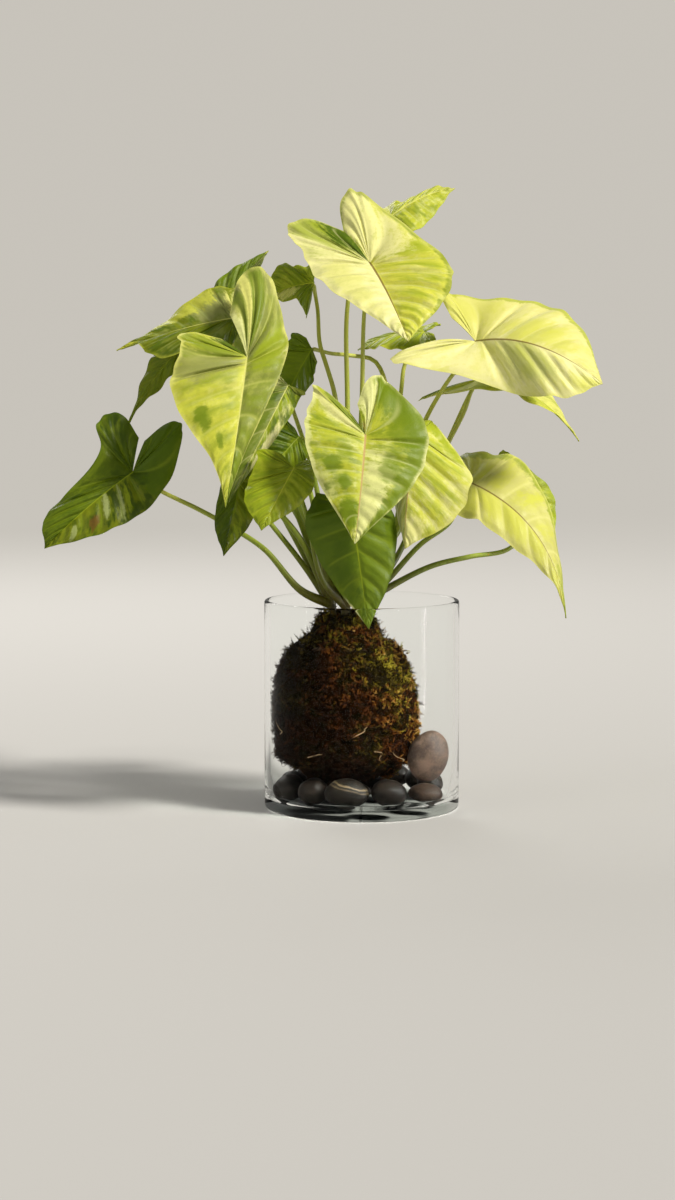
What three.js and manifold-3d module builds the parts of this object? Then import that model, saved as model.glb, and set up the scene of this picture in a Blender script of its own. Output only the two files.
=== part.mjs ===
// A kokedama: an arrowhead vine whose roots sit in a ball of soil wrapped in moss.
// The ball stands on dark river pebbles inside a straight glass cylinder.
// Millimetres, +Z up. The origin is the middle of the vase's flat underside,
// and the side of the plant that most leaves face looks along -Y.

import * as THREE from "three";
import { mergeVertices } from "three/addons/utils/BufferGeometryUtils.js";
import Module from "manifold-3d";

const wasm = await Module();
wasm.setup();

// Driving dimensions
const SEAT = 0.3; // gap between pieces that rest on each other
const MERGE = 1e-3; // corners closer than this are one corner
const VASE = { radius: 75, height: 162, wall: 4, floor: 8, corner: 5, sides: 36 };
const BALL = { x: -12.5, foot: 23.4, top: 143, reach: 69, moss: 6, sides: 24 };
const STEM = { foot: 126, top: 168, radius: 3.8, spacing: 10.5, hole: 4.6 };
const STALK = { footRadius: 2.5, endRadius: 1.4, sides: 6, steps: 9, approach: 8 };
const BLADE = { thickness: 0.8, rows: 14, columns: 3, arch: 0.1, droop: 0.08, wave: 2 };

// Colours, roughness and metalness of the finishes
const FINISH = {
  lime: { color: 0xd9dd6a, roughness: 0.45, metalness: 0 },
  green: { color: 0x5f8f2c, roughness: 0.45, metalness: 0 },
  darkGreen: { color: 0x34591a, roughness: 0.5, metalness: 0 },
  stalk: { color: 0x6f8a35, roughness: 0.5, metalness: 0 },
  soil: { color: 0x2e2219, roughness: 1, metalness: 0 },
  moss: { color: 0x4d4a1e, roughness: 1, metalness: 0 },
  pebble: { color: 0x3a3c40, roughness: 0.8, metalness: 0 },
  glass: { color: 0xe6efee, roughness: 0.05, metalness: 0, transparent: true, opacity: 0.3 },
};

const materials = {};
for (const [name, look] of Object.entries(FINISH)) {
  materials[name] = new THREE.MeshStandardMaterial({ name, ...look });
}
materials.glass.side = THREE.DoubleSide;

const group = new THREE.Group();

function addPiece(name, geometry, finish) {
  const mesh = new THREE.Mesh(geometry, materials[finish]);
  mesh.name = name;
  group.add(mesh);
  return mesh;
}

function vector([x, y, z]) {
  return new THREE.Vector3(x, y, z);
}

// The same shape with shared corners merged, nothing but positions, and no empty triangles
function welded(geometry) {
  const bare = geometry.clone();
  bare.deleteAttribute("normal");
  bare.deleteAttribute("uv");
  const merged = mergeVertices(bare, MERGE);
  const index = Array.from(merged.index.array);
  const kept = [];
  for (let i = 0; i < index.length; i += 3) {
    const [a, b, c] = index.slice(i, i + 3);
    if (a !== b && b !== c && c !== a) {
      kept.push(a, b, c);
    }
  }
  merged.setIndex(kept);
  return merged;
}

function geometryOf(points, triangles) {
  const geometry = new THREE.BufferGeometry();
  const numbers = points.flatMap((p) => [p.x, p.y, p.z]);
  geometry.setAttribute("position", new THREE.Float32BufferAttribute(numbers, 3));
  geometry.setIndex(triangles.flat());
  return geometry;
}

function solidOf(geometry) {
  const closed = welded(geometry);
  const mesh = new wasm.Mesh({
    numProp: 3,
    vertProperties: new Float32Array(closed.attributes.position.array),
    triVerts: new Uint32Array(closed.index.array),
  });
  return new wasm.Manifold(mesh);
}

function geometryOfSolid(solid) {
  const mesh = solid.getMesh();
  const geometry = new THREE.BufferGeometry();
  geometry.setAttribute("position", new THREE.BufferAttribute(mesh.vertProperties, 3));
  geometry.setIndex(new THREE.BufferAttribute(mesh.triVerts, 1));
  return geometry;
}

// A closed skin of rings that starts and ends in one point.
// Each ring is a list of points, counterclockwise seen from the end.
function loft(start, rings, end) {
  const sides = rings[0].length;
  const points = [start, ...rings.flat(), end];
  const last = points.length - 1;
  const triangles = [];
  for (let i = 0; i < sides; i += 1) {
    const next = (i + 1) % sides;
    triangles.push([0, 1 + next, 1 + i]);
    triangles.push([last, last - sides + i, last - sides + next]);
    for (let ring = 0; ring < rings.length - 1; ring += 1) {
      const a = 1 + ring * sides;
      const b = a + sides;
      triangles.push([a + i, a + next, b + next], [a + i, b + next, b + i]);
    }
  }
  return geometryOf(points, triangles);
}

// The glass cylinder: its section turned round the upright axis

function arc(x, y, radius, from, to, steps) {
  const points = [];
  for (let i = 0; i <= steps; i += 1) {
    const angle = from + ((to - from) * i) / steps;
    points.push(new THREE.Vector2(x + radius * Math.cos(angle), y + radius * Math.sin(angle)));
  }
  return points;
}

function makeVase() {
  const { radius, height, wall, floor, corner, sides } = VASE;
  const inner = radius - wall;
  const lip = wall / 4;
  const section = [
    new THREE.Vector2(0, 0),
    ...arc(radius - corner, corner, corner, -Math.PI / 2, 0, 3),
    new THREE.Vector2(radius, height - lip),
    new THREE.Vector2(radius - lip, height),
    new THREE.Vector2(inner + lip, height),
    new THREE.Vector2(inner, height - lip),
    ...arc(inner - corner, floor + corner, corner, 0, -Math.PI / 2, 3),
    new THREE.Vector2(0, floor),
  ];
  const turned = new THREE.LatheGeometry(section, sides);
  turned.rotateX(Math.PI / 2);
  addPiece("glass_vase", welded(turned), "glass");
}

// The ball: an onion shape with a narrow collar, lumpy on the outside

const BALL_PROFILE = new THREE.CatmullRomCurve3([
  new THREE.Vector3(22, 0, 0),
  new THREE.Vector3(45, 0, 0.1),
  new THREE.Vector3(56, 0, 0.28),
  new THREE.Vector3(56.5, 0, 0.46),
  new THREE.Vector3(53, 0, 0.66),
  new THREE.Vector3(45, 0, 0.82),
  new THREE.Vector3(29, 0, 0.93),
  new THREE.Vector3(22, 0, 1),
]);

function lump(angle, level) {
  const broad = 0.03 * Math.sin(3 * angle + 5 * level + 1.2);
  const small = 0.025 * Math.sin(7 * angle - 9 * level) * Math.sin(12 * level + 0.6);
  return 1 + broad + small;
}

function ballRing(share, inset, lumpy) {
  const profile = BALL_PROFILE.getPoint(share);
  const z = BALL.foot + inset + profile.z * (BALL.top - BALL.foot - inset);
  const ring = [];
  for (let i = 0; i < BALL.sides; i += 1) {
    const angle = (2 * Math.PI * i) / BALL.sides;
    const radius = (profile.x - inset) * (lumpy ? lump(angle, profile.z) : 1);
    const x = Math.max(BALL.x + radius * Math.cos(angle), -BALL.reach);
    ring.push(new THREE.Vector3(x, radius * Math.sin(angle), z));
  }
  return ring;
}

function shares(count) {
  return Array.from({ length: count }, (_, i) => i / (count - 1));
}

function makeMossWrap() {
  const outer = shares(11).map((share) => ballRing(share, 0, true));
  const inner = shares(9).map((share) => ballRing(share, BALL.moss, false));
  const foot = new THREE.Vector3(BALL.x, 0, BALL.foot);
  const innerFoot = new THREE.Vector3(BALL.x, 0, BALL.foot + BALL.moss);
  addPiece("moss_wrap", loft(foot, [...outer, ...inner.reverse()], innerFoot), "moss");
}

function makeSoilBall(stemSpots) {
  const inset = BALL.moss + SEAT;
  const rings = shares(9).map((share) => ballRing(share, inset, false));
  const foot = new THREE.Vector3(BALL.x, 0, BALL.foot + inset);
  const top = new THREE.Vector3(BALL.x, 0, BALL.top);
  let soil = solidOf(loft(foot, rings, top));
  for (const { x, y } of stemSpots) {
    const hole = new THREE.CylinderGeometry(STEM.hole, STEM.hole, BALL.top, 8);
    hole.rotateX(Math.PI / 2);
    hole.translate(x, y, STEM.foot - SEAT + BALL.top / 2);
    soil = soil.subtract(solidOf(hole));
  }
  addPiece("soil_ball", geometryOfSolid(soil), "soil");
}

// River pebbles: flattened, slightly lopsided stones. at: the middle. half: half sizes
// along the stone's own axes. turns: degrees about X, Y and Z.
const PEBBLES = [
  { name: "leaning", at: [49.8, -25.3, 44], half: [16.8, 9, 20], turns: [0, 10, 26] },
  { name: "banded", at: [-12, -53, 19.3], half: [17, 12, 10.5], turns: [28, 6, 3] },
  { name: "front_round", at: [20, -48, 18.9], half: [13.5, 12, 10.4], turns: [0, 6, 20] },
  { name: "right_front", at: [48, -28, 15.8], half: [11, 13, 7.4], turns: [0, 0, 60] },
  { name: "left_front", at: [-37, -40, 18.9], half: [11, 12, 10], turns: [0, 0, -30] },
  { name: "left_broad", at: [-55, -19, 18.5], half: [11, 14, 10], turns: [8, 0, -18] },
  { name: "under_left", at: [-29, 4, 15.8], half: [12, 12, 7], turns: [0, 0, 20] },
  { name: "under_right", at: [10, 6, 15.8], half: [15, 12, 7], turns: [0, 0, -35] },
  { name: "under_front", at: [-8, -22, 15.8], half: [15, 11, 7], turns: [0, 0, 10] },
  { name: "under_back", at: [-12, 27, 15.8], half: [14, 10, 7], turns: [0, 0, 15] },
];
const BACK_PEBBLES = { count: 7, radius: 53, from: 4, to: 170, half: [10.5, 12, 9] };

function backPebbles() {
  const { count, radius, from, to, half } = BACK_PEBBLES;
  return shares(count).map((share, i) => {
    const angle = THREE.MathUtils.degToRad(from + (to - from) * share);
    const swell = 1 + 0.08 * Math.sin(2.4 * i);
    return {
      name: `back_${i + 1}`,
      at: [radius * Math.cos(angle), radius * Math.sin(angle), VASE.floor + SEAT + half[2] * 1.07],
      half: [half[0] * swell, half[1], half[2]],
      turns: [0, 0, THREE.MathUtils.radToDeg(angle)],
    };
  });
}

function makePebble({ name, at, half, turns }, order) {
  const stone = new THREE.IcosahedronGeometry(1.03, 1);
  const { position } = stone.attributes;
  for (let i = 0; i < position.count; i += 1) {
    const p = new THREE.Vector3().fromBufferAttribute(position, i);
    const swell = 1 + 0.05 * Math.sin(2.5 * p.x + order) * Math.cos(2 * p.y - order);
    p.multiplyScalar(swell).multiply(vector(half));
    position.setXYZ(i, p.x, p.y, p.z);
  }
  const mesh = addPiece(`pebble_${name}`, welded(stone), "pebble");
  mesh.position.set(...at);
  mesh.rotation.set(...turns.map(THREE.MathUtils.degToRad));
}

// Leaves. Six guide points each, read off the plant: where the stalk joins, the tip,
// the widest point of either half and the end of either back lobe. Left and right are
// as seen on the upper face with the tip down. lean: -1 is full and round, 1 narrows
// early. droop: how far the midrib arches over its chord. waist pinches the margin
// before a lobe, lobe scales the lobe's width. stalk: points the stalk passes.

const LEAVES = [
  { name: "top", finish: "lime", stem: "back", join: [6, 0, 419],
    tip: [34, -70, 361], left: [-40, -15, 417], right: [66, -20, 418],
    leftLobe: [-56, 20, 449], rightLobe: [-9, 45, 475],
    lean: -0.5, droop: 0.06, waist: [0.06, -0.03], lobe: [1.1, 0.9],
    stalk: [[-5, 5, 207], [0, 6, 315], [2, 6, 384]] },
  { name: "top_back", finish: "lime", stem: "back", join: [21, 50, 454],
    tip: [74, 95, 478], left: [39, 35, 441], right: [38, 76, 471],
    leftLobe: [13, 42, 439], rightLobe: [10, 72, 459],
    stalk: [[-9, 16, 207], [-11, 26, 314], [-11, 38, 385], [-3, 52, 423]] },
  { name: "right_high", finish: "lime", stem: "right", join: [86, -20, 360],
    tip: [179, -60, 329], left: [115, -55, 322], right: [132, 8, 388],
    leftLobe: [21, -45, 346], rightLobe: [62, 5, 400],
    lean: -1, droop: 0.17, waist: [0.1, 0.02], lobe: [0.55, 0.9],
    stalk: [[20, 8, 192], [33, 8, 253], [47, -8, 297], [58, -19, 319], [70, -24, 337]] },
  { name: "right_under", finish: "lime", stem: "right", join: [89, 15, 330],
    tip: [167, 10, 283], left: [109, -20, 323], right: [125, 50, 330],
    leftLobe: [44, -10, 316], rightLobe: [61, 50, 338],
    lean: 0.6, droop: 0.12, lobe: [0.6, 0.6],
    stalk: [[26, 18, 191], [53, 26, 252], [68, 26, 283], [79, 22, 305]] },
  { name: "front", finish: "green", stem: "front", join: [2, -85, 292],
    tip: [-6, -118, 214], left: [-43, -92, 298], right: [48, -88, 281],
    leftLobe: [-37, -60, 328], rightLobe: [13, -62, 336],
    lean: -0.4, waist: [0, -0.2], lobe: [0.6, 1.1],
    stalk: [[-9, -12, 193], [-6, -32, 244], [-1, -58, 269]] },
  { name: "right_mid", finish: "lime", stem: "right", join: [43, -50, 293],
    tip: [32, -62, 206], left: [29, -15, 268], right: [83, -45, 257],
    leftLobe: [32, -30, 307], rightLobe: [53, -30, 300],
    lean: -0.7, waist: [0, -0.15],
    stalk: [[16, 2, 192], [39, 8, 238], [49, -12, 268]] },
  { name: "right_low", finish: "lime", stem: "right", join: [80, -25, 254],
    tip: [154, -45, 152], left: [90, -55, 224], right: [120, 5, 272],
    leftLobe: [64, -30, 226], rightLobe: [77, 15, 272],
    lean: 0.7, droop: 0.2,
    stalk: [[18, 2, 175], [45, 4, 204], [68, 0, 222]] },
  { name: "right_rear", finish: "green", stem: "right", join: [115, 28, 244],
    tip: [146, 20, 189], left: [102, 22, 222], right: [147, 32, 244],
    leftLobe: [84, 25, 252], rightLobe: [110, 38, 275],
    stalk: [[18, 8, 169], [53, 16, 186], [84, 24, 193], [114, 34, 198], [128, 44, 214]] },
  { name: "left_broad", finish: "lime", stem: "left", join: [-86, -60, 349],
    tip: [-101, -105, 240], left: [-142, -80, 329], right: [-56, -55, 354],
    leftLobe: [-138, -50, 365], rightLobe: [-80, -15, 416],
    lean: 0.9, droop: 0.06,
    stalk: [[-47, 2, 208], [-77, 12, 245], [-100, 8, 292], [-98, -20, 320]] },
  { name: "left_high", finish: "lime", stem: "left", join: [-94, -10, 378],
    tip: [-187, -5, 353], left: [-118, 10, 397], right: [-150, -22, 350],
    leftLobe: [-98, 22, 400], rightLobe: [-104, -20, 355],
    lean: 1.1, droop: 0.04, wave: 3.5,
    stalk: [[-48, 28, 221], [-77, 34, 298], [-86, 15, 351]] },
  { name: "left_upright", finish: "green", stem: "far", join: [-115, 30, 374],
    tip: [-72, 45, 429], left: [-88, 28, 393], right: [-110, 38, 406],
    leftLobe: [-95, 25, 367], rightLobe: [-126, 35, 386],
    lean: 0.4,
    stalk: [[-48, 45, 220], [-95, 65, 297], [-114, 60, 344]] },
  { name: "left_low", finish: "green", stem: "left", join: [-173, -40, 262],
    tip: [-238, -60, 206], left: [-225, -50, 244], right: [-166, -58, 232],
    leftLobe: [-193, -30, 306], rightLobe: [-137, -35, 299],
    lean: -0.3, waist: [0.38, -0.12], lobe: [1.5, 1],
    stalk: [[-47, -8, 170], [-74, 0, 200], [-97, 8, 215], [-124, -2, 231], [-150, -18, 245]] },
  { name: "left_hanging", finish: "darkGreen", stem: "left", join: [-136, 12, 357],
    tip: [-182, 25, 290], left: [-160, 22, 346], right: [-147, 8, 333],
    leftLobe: [-151, 15, 364], rightLobe: [-129, 8, 338],
    lean: 0.9,
    stalk: [[-55, 22, 214], [-98, 38, 290], [-121, 32, 329]] },
  { name: "centre_left", finish: "green", stem: "front", join: [-51, -70, 267],
    tip: [-75, -92, 222], left: [-86, -80, 254], right: [-37, -76, 251],
    leftLobe: [-79, -62, 279], rightLobe: [-36, -58, 271],
    lean: -0.2,
    stalk: [[-30, -20, 179], [-41, -38, 226]] },
  { name: "low_left", finish: "darkGreen", stem: "left", join: [-93, -20, 254],
    tip: [-105, -30, 198], left: [-111, -25, 233], right: [-80, -22, 234],
    leftLobe: [-104, -10, 264], rightLobe: [-76, -10, 264],
    lean: -0.1,
    stalk: [[-48, 8, 192], [-77, 4, 229]] },
  { name: "centre_dark", finish: "darkGreen", stem: "far", join: [-38, 5, 354],
    tip: [-64, 8, 304], left: [-69, 14, 352], right: [-37, 4, 330],
    leftLobe: [-54, 15, 365], rightLobe: [-35, -2, 344],
    stalk: [[-3, 32, 221], [21, 52, 305], [11, 54, 343], [-9, 48, 348], [-24, 28, 350]] },
  { name: "centre_striped", finish: "green", stem: "front", join: [-56, -25, 327],
    tip: [-100, -60, 241], left: [-86, -33, 316], right: [-53, -30, 306],
    leftLobe: [-71, -20, 334], rightLobe: [-43, -20, 320],
    lean: 0.6,
    stalk: [[-24, 0, 192], [-38, 0, 262]] },
  { name: "low_front", finish: "darkGreen", stem: "front", join: [-9, -65, 244],
    tip: [5, -45, 144], left: [-43, -60, 228], right: [25, -58, 224],
    leftLobe: [-35, -50, 245], rightLobe: [18, -50, 248],
    lean: -0.3,
    stalk: [[-8, -22, 187], [-9, -38, 218]] },
  { name: "top_left", finish: "darkGreen", stem: "back", join: [-37, 25, 404],
    tip: [-75, 20, 393], left: [-59, 35, 419], right: [-50, 15, 391],
    leftLobe: [-39, 35, 419], rightLobe: [-43, 20, 377],
    lobe: [0.6, 1],
    stalk: [[-13, 4, 207], [-20, 2, 315], [-27, 3, 341], [-32, 8, 357], [-34, 30, 384]] },
  { name: "centre_back", finish: "darkGreen", stem: "back", join: [49, 35, 366],
    tip: [-3, 50, 352], left: [24, 62, 364], right: [26, 20, 353],
    leftLobe: [61, 38, 373], rightLobe: [54, 12, 358],
    lean: 0.2,
    stalk: [[10, 22, 206], [28, 32, 291], [31, 40, 323], [35, 46, 344]] },
  { name: "centre_small", finish: "darkGreen", stem: "front", join: [-48, -22, 288],
    tip: [-77, -38, 256], left: [-71, -28, 294], right: [-45, -32, 264],
    leftLobe: [-59, -18, 300], rightLobe: [-39, -18, 278],
    lean: 0.2,
    stalk: [[-27, -6, 182], [-38, -6, 239]] },
  { name: "back_left", finish: "darkGreen", stem: "far", join: [-102, 95, 367],
    tip: [-112, 150, 284], left: [-66, 105, 334], right: [-141, 115, 333],
    leftLobe: [-78, 75, 389], rightLobe: [-121, 85, 383],
    stalk: [[-44, 62, 219], [-78, 90, 288], [-98, 104, 339]] },
  { name: "back_low", finish: "darkGreen", stem: "far", join: [19, 90, 278],
    tip: [20, 140, 223], left: [54, 105, 259], right: [-15, 105, 260],
    leftLobe: [35, 75, 292], rightLobe: [1, 80, 300],
    stalk: [[3, 40, 181], [13, 72, 234]] },
  { name: "back_right", finish: "darkGreen", stem: "far", join: [117, 70, 369],
    tip: [166, 125, 336], left: [148, 80, 374], right: [130, 110, 332],
    leftLobe: [104, 52, 385], rightLobe: [92, 78, 352],
    stalk: [[14, 32, 190], [54, 66, 258], [92, 62, 330]] },
];

// The margin of one half, in shares of the midrib and of the half's width
const FULL = [[0.9, 0.24], [0.72, 0.7], [0.5, 0.96]];
const LEAN = [[0.9, 0.07], [0.72, 0.27], [0.5, 0.7]];

function bladeFrame(leaf) {
  const join = vector(leaf.join);
  const chord = vector(leaf.tip).sub(join);
  const across = vector(leaf.right).sub(vector(leaf.left));
  const up = chord.clone().cross(across).normalize();
  const rise = chord.length() * (leaf.droop ?? BLADE.droop);
  const midrib = (share) => join.clone()
    .addScaledVector(chord, share)
    .addScaledVector(up, 4 * share * (1 - share) * rise);
  return { join, up, midrib };
}

// The outline of one half from the tip round the lobe to the stalk,
// with the place on the midrib where the vein to each of its points begins
function halfOutline(leaf, frame, side) {
  const name = side < 0 ? "left" : "right";
  const pick = side < 0 ? 0 : 1;
  const wide = vector(leaf[name]);
  const width = wide.clone().sub(frame.midrib(0.25));
  const lobe = vector(leaf[`${name}Lobe`]).sub(frame.join);
  const length = lobe.length();
  const outward = width.clone().projectOnPlane(lobe.clone().normalize()).normalize();
  const fullness = (leaf.lobe ?? [1, 1])[pick] * length;
  const waist = ((leaf.waist ?? [0, 0])[pick] - 0.03) * length;
  const lobePoint = (share, spread) => frame.join.clone()
    .addScaledVector(lobe, share)
    .addScaledVector(outward, spread * fullness);

  const points = [vector(leaf.tip)];
  const starts = [1];
  const lean = ((leaf.lean ?? 0) + 1) / 2;
  FULL.forEach(([along, full], i) => {
    const out = full + (LEAN[i][1] - full) * lean;
    points.push(frame.midrib(along).addScaledVector(width, out));
    starts.push(along - 0.22 * out);
  });
  const shoulder = lobePoint(0.9, 0.14);
  const pinch = wide.clone().add(shoulder).multiplyScalar(0.5).addScaledVector(outward, -waist);
  points.push(wide, pinch, shoulder, lobePoint(1, 0), lobePoint(0.88, -0.14), lobePoint(0.45, -0.2));
  starts.push(0.06, 0, 0, 0, 0, 0);
  return { curve: new THREE.CatmullRomCurve3(points), starts };
}

// One half of the blade as a grid: rows go round the margin, columns from midrib to margin
function halfGrid(leaf, frame, side, phase) {
  const { curve, starts } = halfOutline(leaf, frame, side);
  const wave = leaf.wave ?? BLADE.wave;
  return shares(BLADE.rows).map((share) => {
    const place = share * (starts.length - 1);
    const before = Math.min(Math.floor(place), starts.length - 2);
    const start = starts[before] + (starts[before + 1] - starts[before]) * (place - before);
    const root = frame.midrib(start);
    const vein = curve.getPoint(share).sub(root);
    const turns = 2.6 * share + phase + 0.3 * side;
    const ripple = wave * Math.sin(2 * Math.PI * turns) * Math.sin(Math.PI * share);
    return shares(BLADE.columns + 1).map((out) => {
      const arch = BLADE.arch * vein.length() * 2 * out * (1 - out);
      return root.clone()
        .addScaledVector(vein, out)
        .addScaledVector(frame.up, arch + ripple * out * out);
    });
  });
}

// Both halves as one sheet whose triangles look along the upper face
function bladeSheet(leaf, frame, phase) {
  const points = [];
  const triangles = [];
  for (const side of [-1, 1]) {
    const first = points.length;
    const grid = halfGrid(leaf, frame, side, phase);
    const width = BLADE.columns + 1;
    points.push(...grid.flat());
    for (let row = 0; row < BLADE.rows - 1; row += 1) {
      for (let column = 0; column < BLADE.columns; column += 1) {
        const a = first + row * width + column;
        const quad = [[a, a + 1, a + width + 1], [a, a + width + 1, a + width]];
        triangles.push(...quad.map(([p, q, r]) => (side < 0 ? [p, q, r] : [p, r, q])));
      }
    }
  }
  const sheet = welded(geometryOf(points, triangles));
  sheet.computeVertexNormals();
  return sheet;
}

// A sheet given thickness: an upper and a lower face split alike, and a rim between them
function thicken(sheet, thickness) {
  const { position, normal } = sheet.attributes;
  const faces = [1, -1].map((way) => Array.from({ length: position.count }, (_, i) => (
    new THREE.Vector3().fromBufferAttribute(position, i)
      .addScaledVector(new THREE.Vector3().fromBufferAttribute(normal, i), (way * thickness) / 2)
  )));
  const under = position.count;
  const index = sheet.index.array;
  const triangles = [];
  const rim = new Map();
  for (let i = 0; i < index.length; i += 3) {
    const [a, b, c] = index.slice(i, i + 3);
    triangles.push([a, b, c], [under + a, under + c, under + b]);
    for (const [from, to] of [[a, b], [b, c], [c, a]]) {
      if (!rim.delete(`${to},${from}`)) {
        rim.set(`${from},${to}`, [from, to]);
      }
    }
  }
  for (const [from, to] of rim.values()) {
    triangles.push([from, under + from, under + to], [from, under + to, to]);
  }
  return geometryOf(faces.flat(), triangles);
}

// How steeply the blade falls away from its upper side round the stalk
function fallAtJoin(sheet, frame) {
  const { position } = sheet.attributes;
  let fall = 0;
  for (let i = 0; i < position.count; i += 1) {
    const way = new THREE.Vector3().fromBufferAttribute(position, i).sub(frame.join);
    const reach = way.length();
    if (reach > 0.1 && reach < STALK.approach * 2) {
      const rise = way.dot(frame.up);
      fall = Math.max(fall, -rise / Math.sqrt(reach * reach - rise * rise));
    }
  }
  return fall;
}

// A stalk from its stem to the underside of its blade, thinner towards the blade
function makeStalk(leaf, frame, sheet, stem) {
  const clear = BLADE.thickness / 2 + SEAT + 1.2 * STALK.endRadius * fallAtJoin(sheet, frame);
  const end = frame.join.clone().addScaledVector(frame.up, -clear);
  const approach = end.clone().addScaledVector(frame.up, -STALK.approach);
  const foot = new THREE.Vector3(stem.x, stem.y, STEM.top - 10);
  const path = new THREE.CatmullRomCurve3([foot, ...leaf.stalk.map(vector), approach, end]);
  const frames = path.computeFrenetFrames(STALK.steps, false);
  const rings = shares(STALK.steps + 1).map((share, i) => {
    const radius = STALK.footRadius + (STALK.endRadius - STALK.footRadius) * share;
    return ring(path.getPointAt(share), frames.normals[i], frames.binormals[i], radius);
  });
  return loft(foot, rings, end);
}

function ring(centre, sideways, upwards, radius) {
  return Array.from({ length: STALK.sides }, (_, i) => {
    const angle = (2 * Math.PI * i) / STALK.sides;
    return centre.clone()
      .addScaledVector(sideways, radius * Math.cos(angle))
      .addScaledVector(upwards, radius * Math.sin(angle));
  });
}

// Stems: short stumps in plain holes of the soil, each with the stalks that grow from it
const STEMS = {
  left: { x: BALL.x - STEM.spacing, y: 0 },
  front: { x: BALL.x, y: -STEM.spacing },
  right: { x: BALL.x + STEM.spacing, y: 0 },
  back: { x: BALL.x, y: 0 },
  far: { x: BALL.x, y: STEM.spacing },
};

function makeStump({ x, y }) {
  const stump = new THREE.CylinderGeometry(STEM.radius * 0.8, STEM.radius, STEM.top - STEM.foot, 8);
  stump.rotateX(Math.PI / 2);
  stump.translate(x, y, (STEM.top + STEM.foot) / 2);
  return solidOf(stump);
}

const growing = {};
for (const [name, spot] of Object.entries(STEMS)) {
  growing[name] = makeStump(spot);
}
LEAVES.forEach((leaf, i) => {
  const frame = bladeFrame(leaf);
  const sheet = bladeSheet(leaf, frame, 0.37 * i);
  addPiece(`leaf_${leaf.name}`, thicken(sheet, BLADE.thickness), leaf.finish);
  const stalk = solidOf(makeStalk(leaf, frame, sheet, STEMS[leaf.stem]));
  growing[leaf.stem] = growing[leaf.stem].add(stalk);
});
for (const [name, solid] of Object.entries(growing)) {
  addPiece(`stem_${name}`, geometryOfSolid(solid), "stalk");
}

makeVase();
makeMossWrap();
makeSoilBall(Object.values(STEMS));
[...PEBBLES, ...backPebbles()].forEach(makePebble);

export default group;
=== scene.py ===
# %% [markdown]
# # A kokedama in a glass cylinder
# The plant is an arrowhead vine. Its roots sit in a ball of soil wrapped in moss, and the
# ball stands on dark river pebbles in a clear glass vase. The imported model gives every
# piece its place. This lesson makes each one again with a finer surface and a real finish.
# All tables below are in millimetres, and the finished meshes are in metres.

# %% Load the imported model
import math

import bpy
import numpy as np
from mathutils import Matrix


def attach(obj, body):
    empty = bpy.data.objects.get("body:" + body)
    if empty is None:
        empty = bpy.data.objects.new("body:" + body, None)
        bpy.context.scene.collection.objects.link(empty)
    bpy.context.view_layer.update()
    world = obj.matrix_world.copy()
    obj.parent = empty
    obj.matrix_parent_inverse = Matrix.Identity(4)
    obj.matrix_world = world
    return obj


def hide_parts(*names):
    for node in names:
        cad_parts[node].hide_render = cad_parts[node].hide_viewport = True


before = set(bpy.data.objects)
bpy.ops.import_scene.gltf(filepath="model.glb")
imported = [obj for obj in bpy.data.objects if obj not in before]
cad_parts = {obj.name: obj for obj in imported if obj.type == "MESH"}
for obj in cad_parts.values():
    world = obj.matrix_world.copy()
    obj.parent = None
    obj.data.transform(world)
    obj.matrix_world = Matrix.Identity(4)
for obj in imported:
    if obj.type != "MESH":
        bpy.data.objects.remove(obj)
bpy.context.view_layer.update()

METRES = 0.001  # one millimetre

# %% [markdown]
# ## The camera
# A long lens from two and a half metres away keeps the upright lines of the vase nearly
# parallel. The camera stands a little above the middle of the plant and looks slightly
# down, so the rims of the vase show as flat ellipses.

# %% Camera
CAMERA_PLACE = (-0.01863, -2.52439, 0.40464)
CAMERA_TILT = math.radians(90 - 5.5)
LENS, SENSOR = 99, 36  # millimetres

camera = bpy.data.objects.new("camera", bpy.data.cameras.new("camera"))
camera.data.lens = LENS
camera.data.sensor_width = SENSOR
camera.location = CAMERA_PLACE
camera.rotation_euler = (CAMERA_TILT, 0, 0)
bpy.context.collection.objects.link(camera)
bpy.context.scene.camera = camera
print("camera at", CAMERA_PLACE)

# %% [markdown]
# ## Helpers for surfaces
# Every shape here is a grid or a row of rings, worked out as whole numpy arrays. A loft
# draws a closed skin over rings of points. A weld makes shared points one, so that the
# normals run smoothly over a seam. Making the meshes from formulas keeps each piece
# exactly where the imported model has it.

# %% Surface helpers
WELD = 1e-3  # millimetres: points closer than this are one


def unit(vectors):
    """Each vector divided by its own length."""
    return vectors / np.linalg.norm(vectors, axis=-1, keepdims=True)


def round_angles(sides):
    """Even angles once round."""
    return np.arange(sides) * 2 * np.pi / sides


def circles(radius, z, sides, x=0.0, y=0.0):
    """Rings of points round an upright axis through (x, y), one for each radius and height,
    which are given as columns. A radius may also have a value for every side."""
    angle = round_angles(sides)
    across = x + radius * np.cos(angle)
    return np.stack([across, y + radius * np.sin(angle), np.broadcast_to(z, across.shape)], -1)


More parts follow.
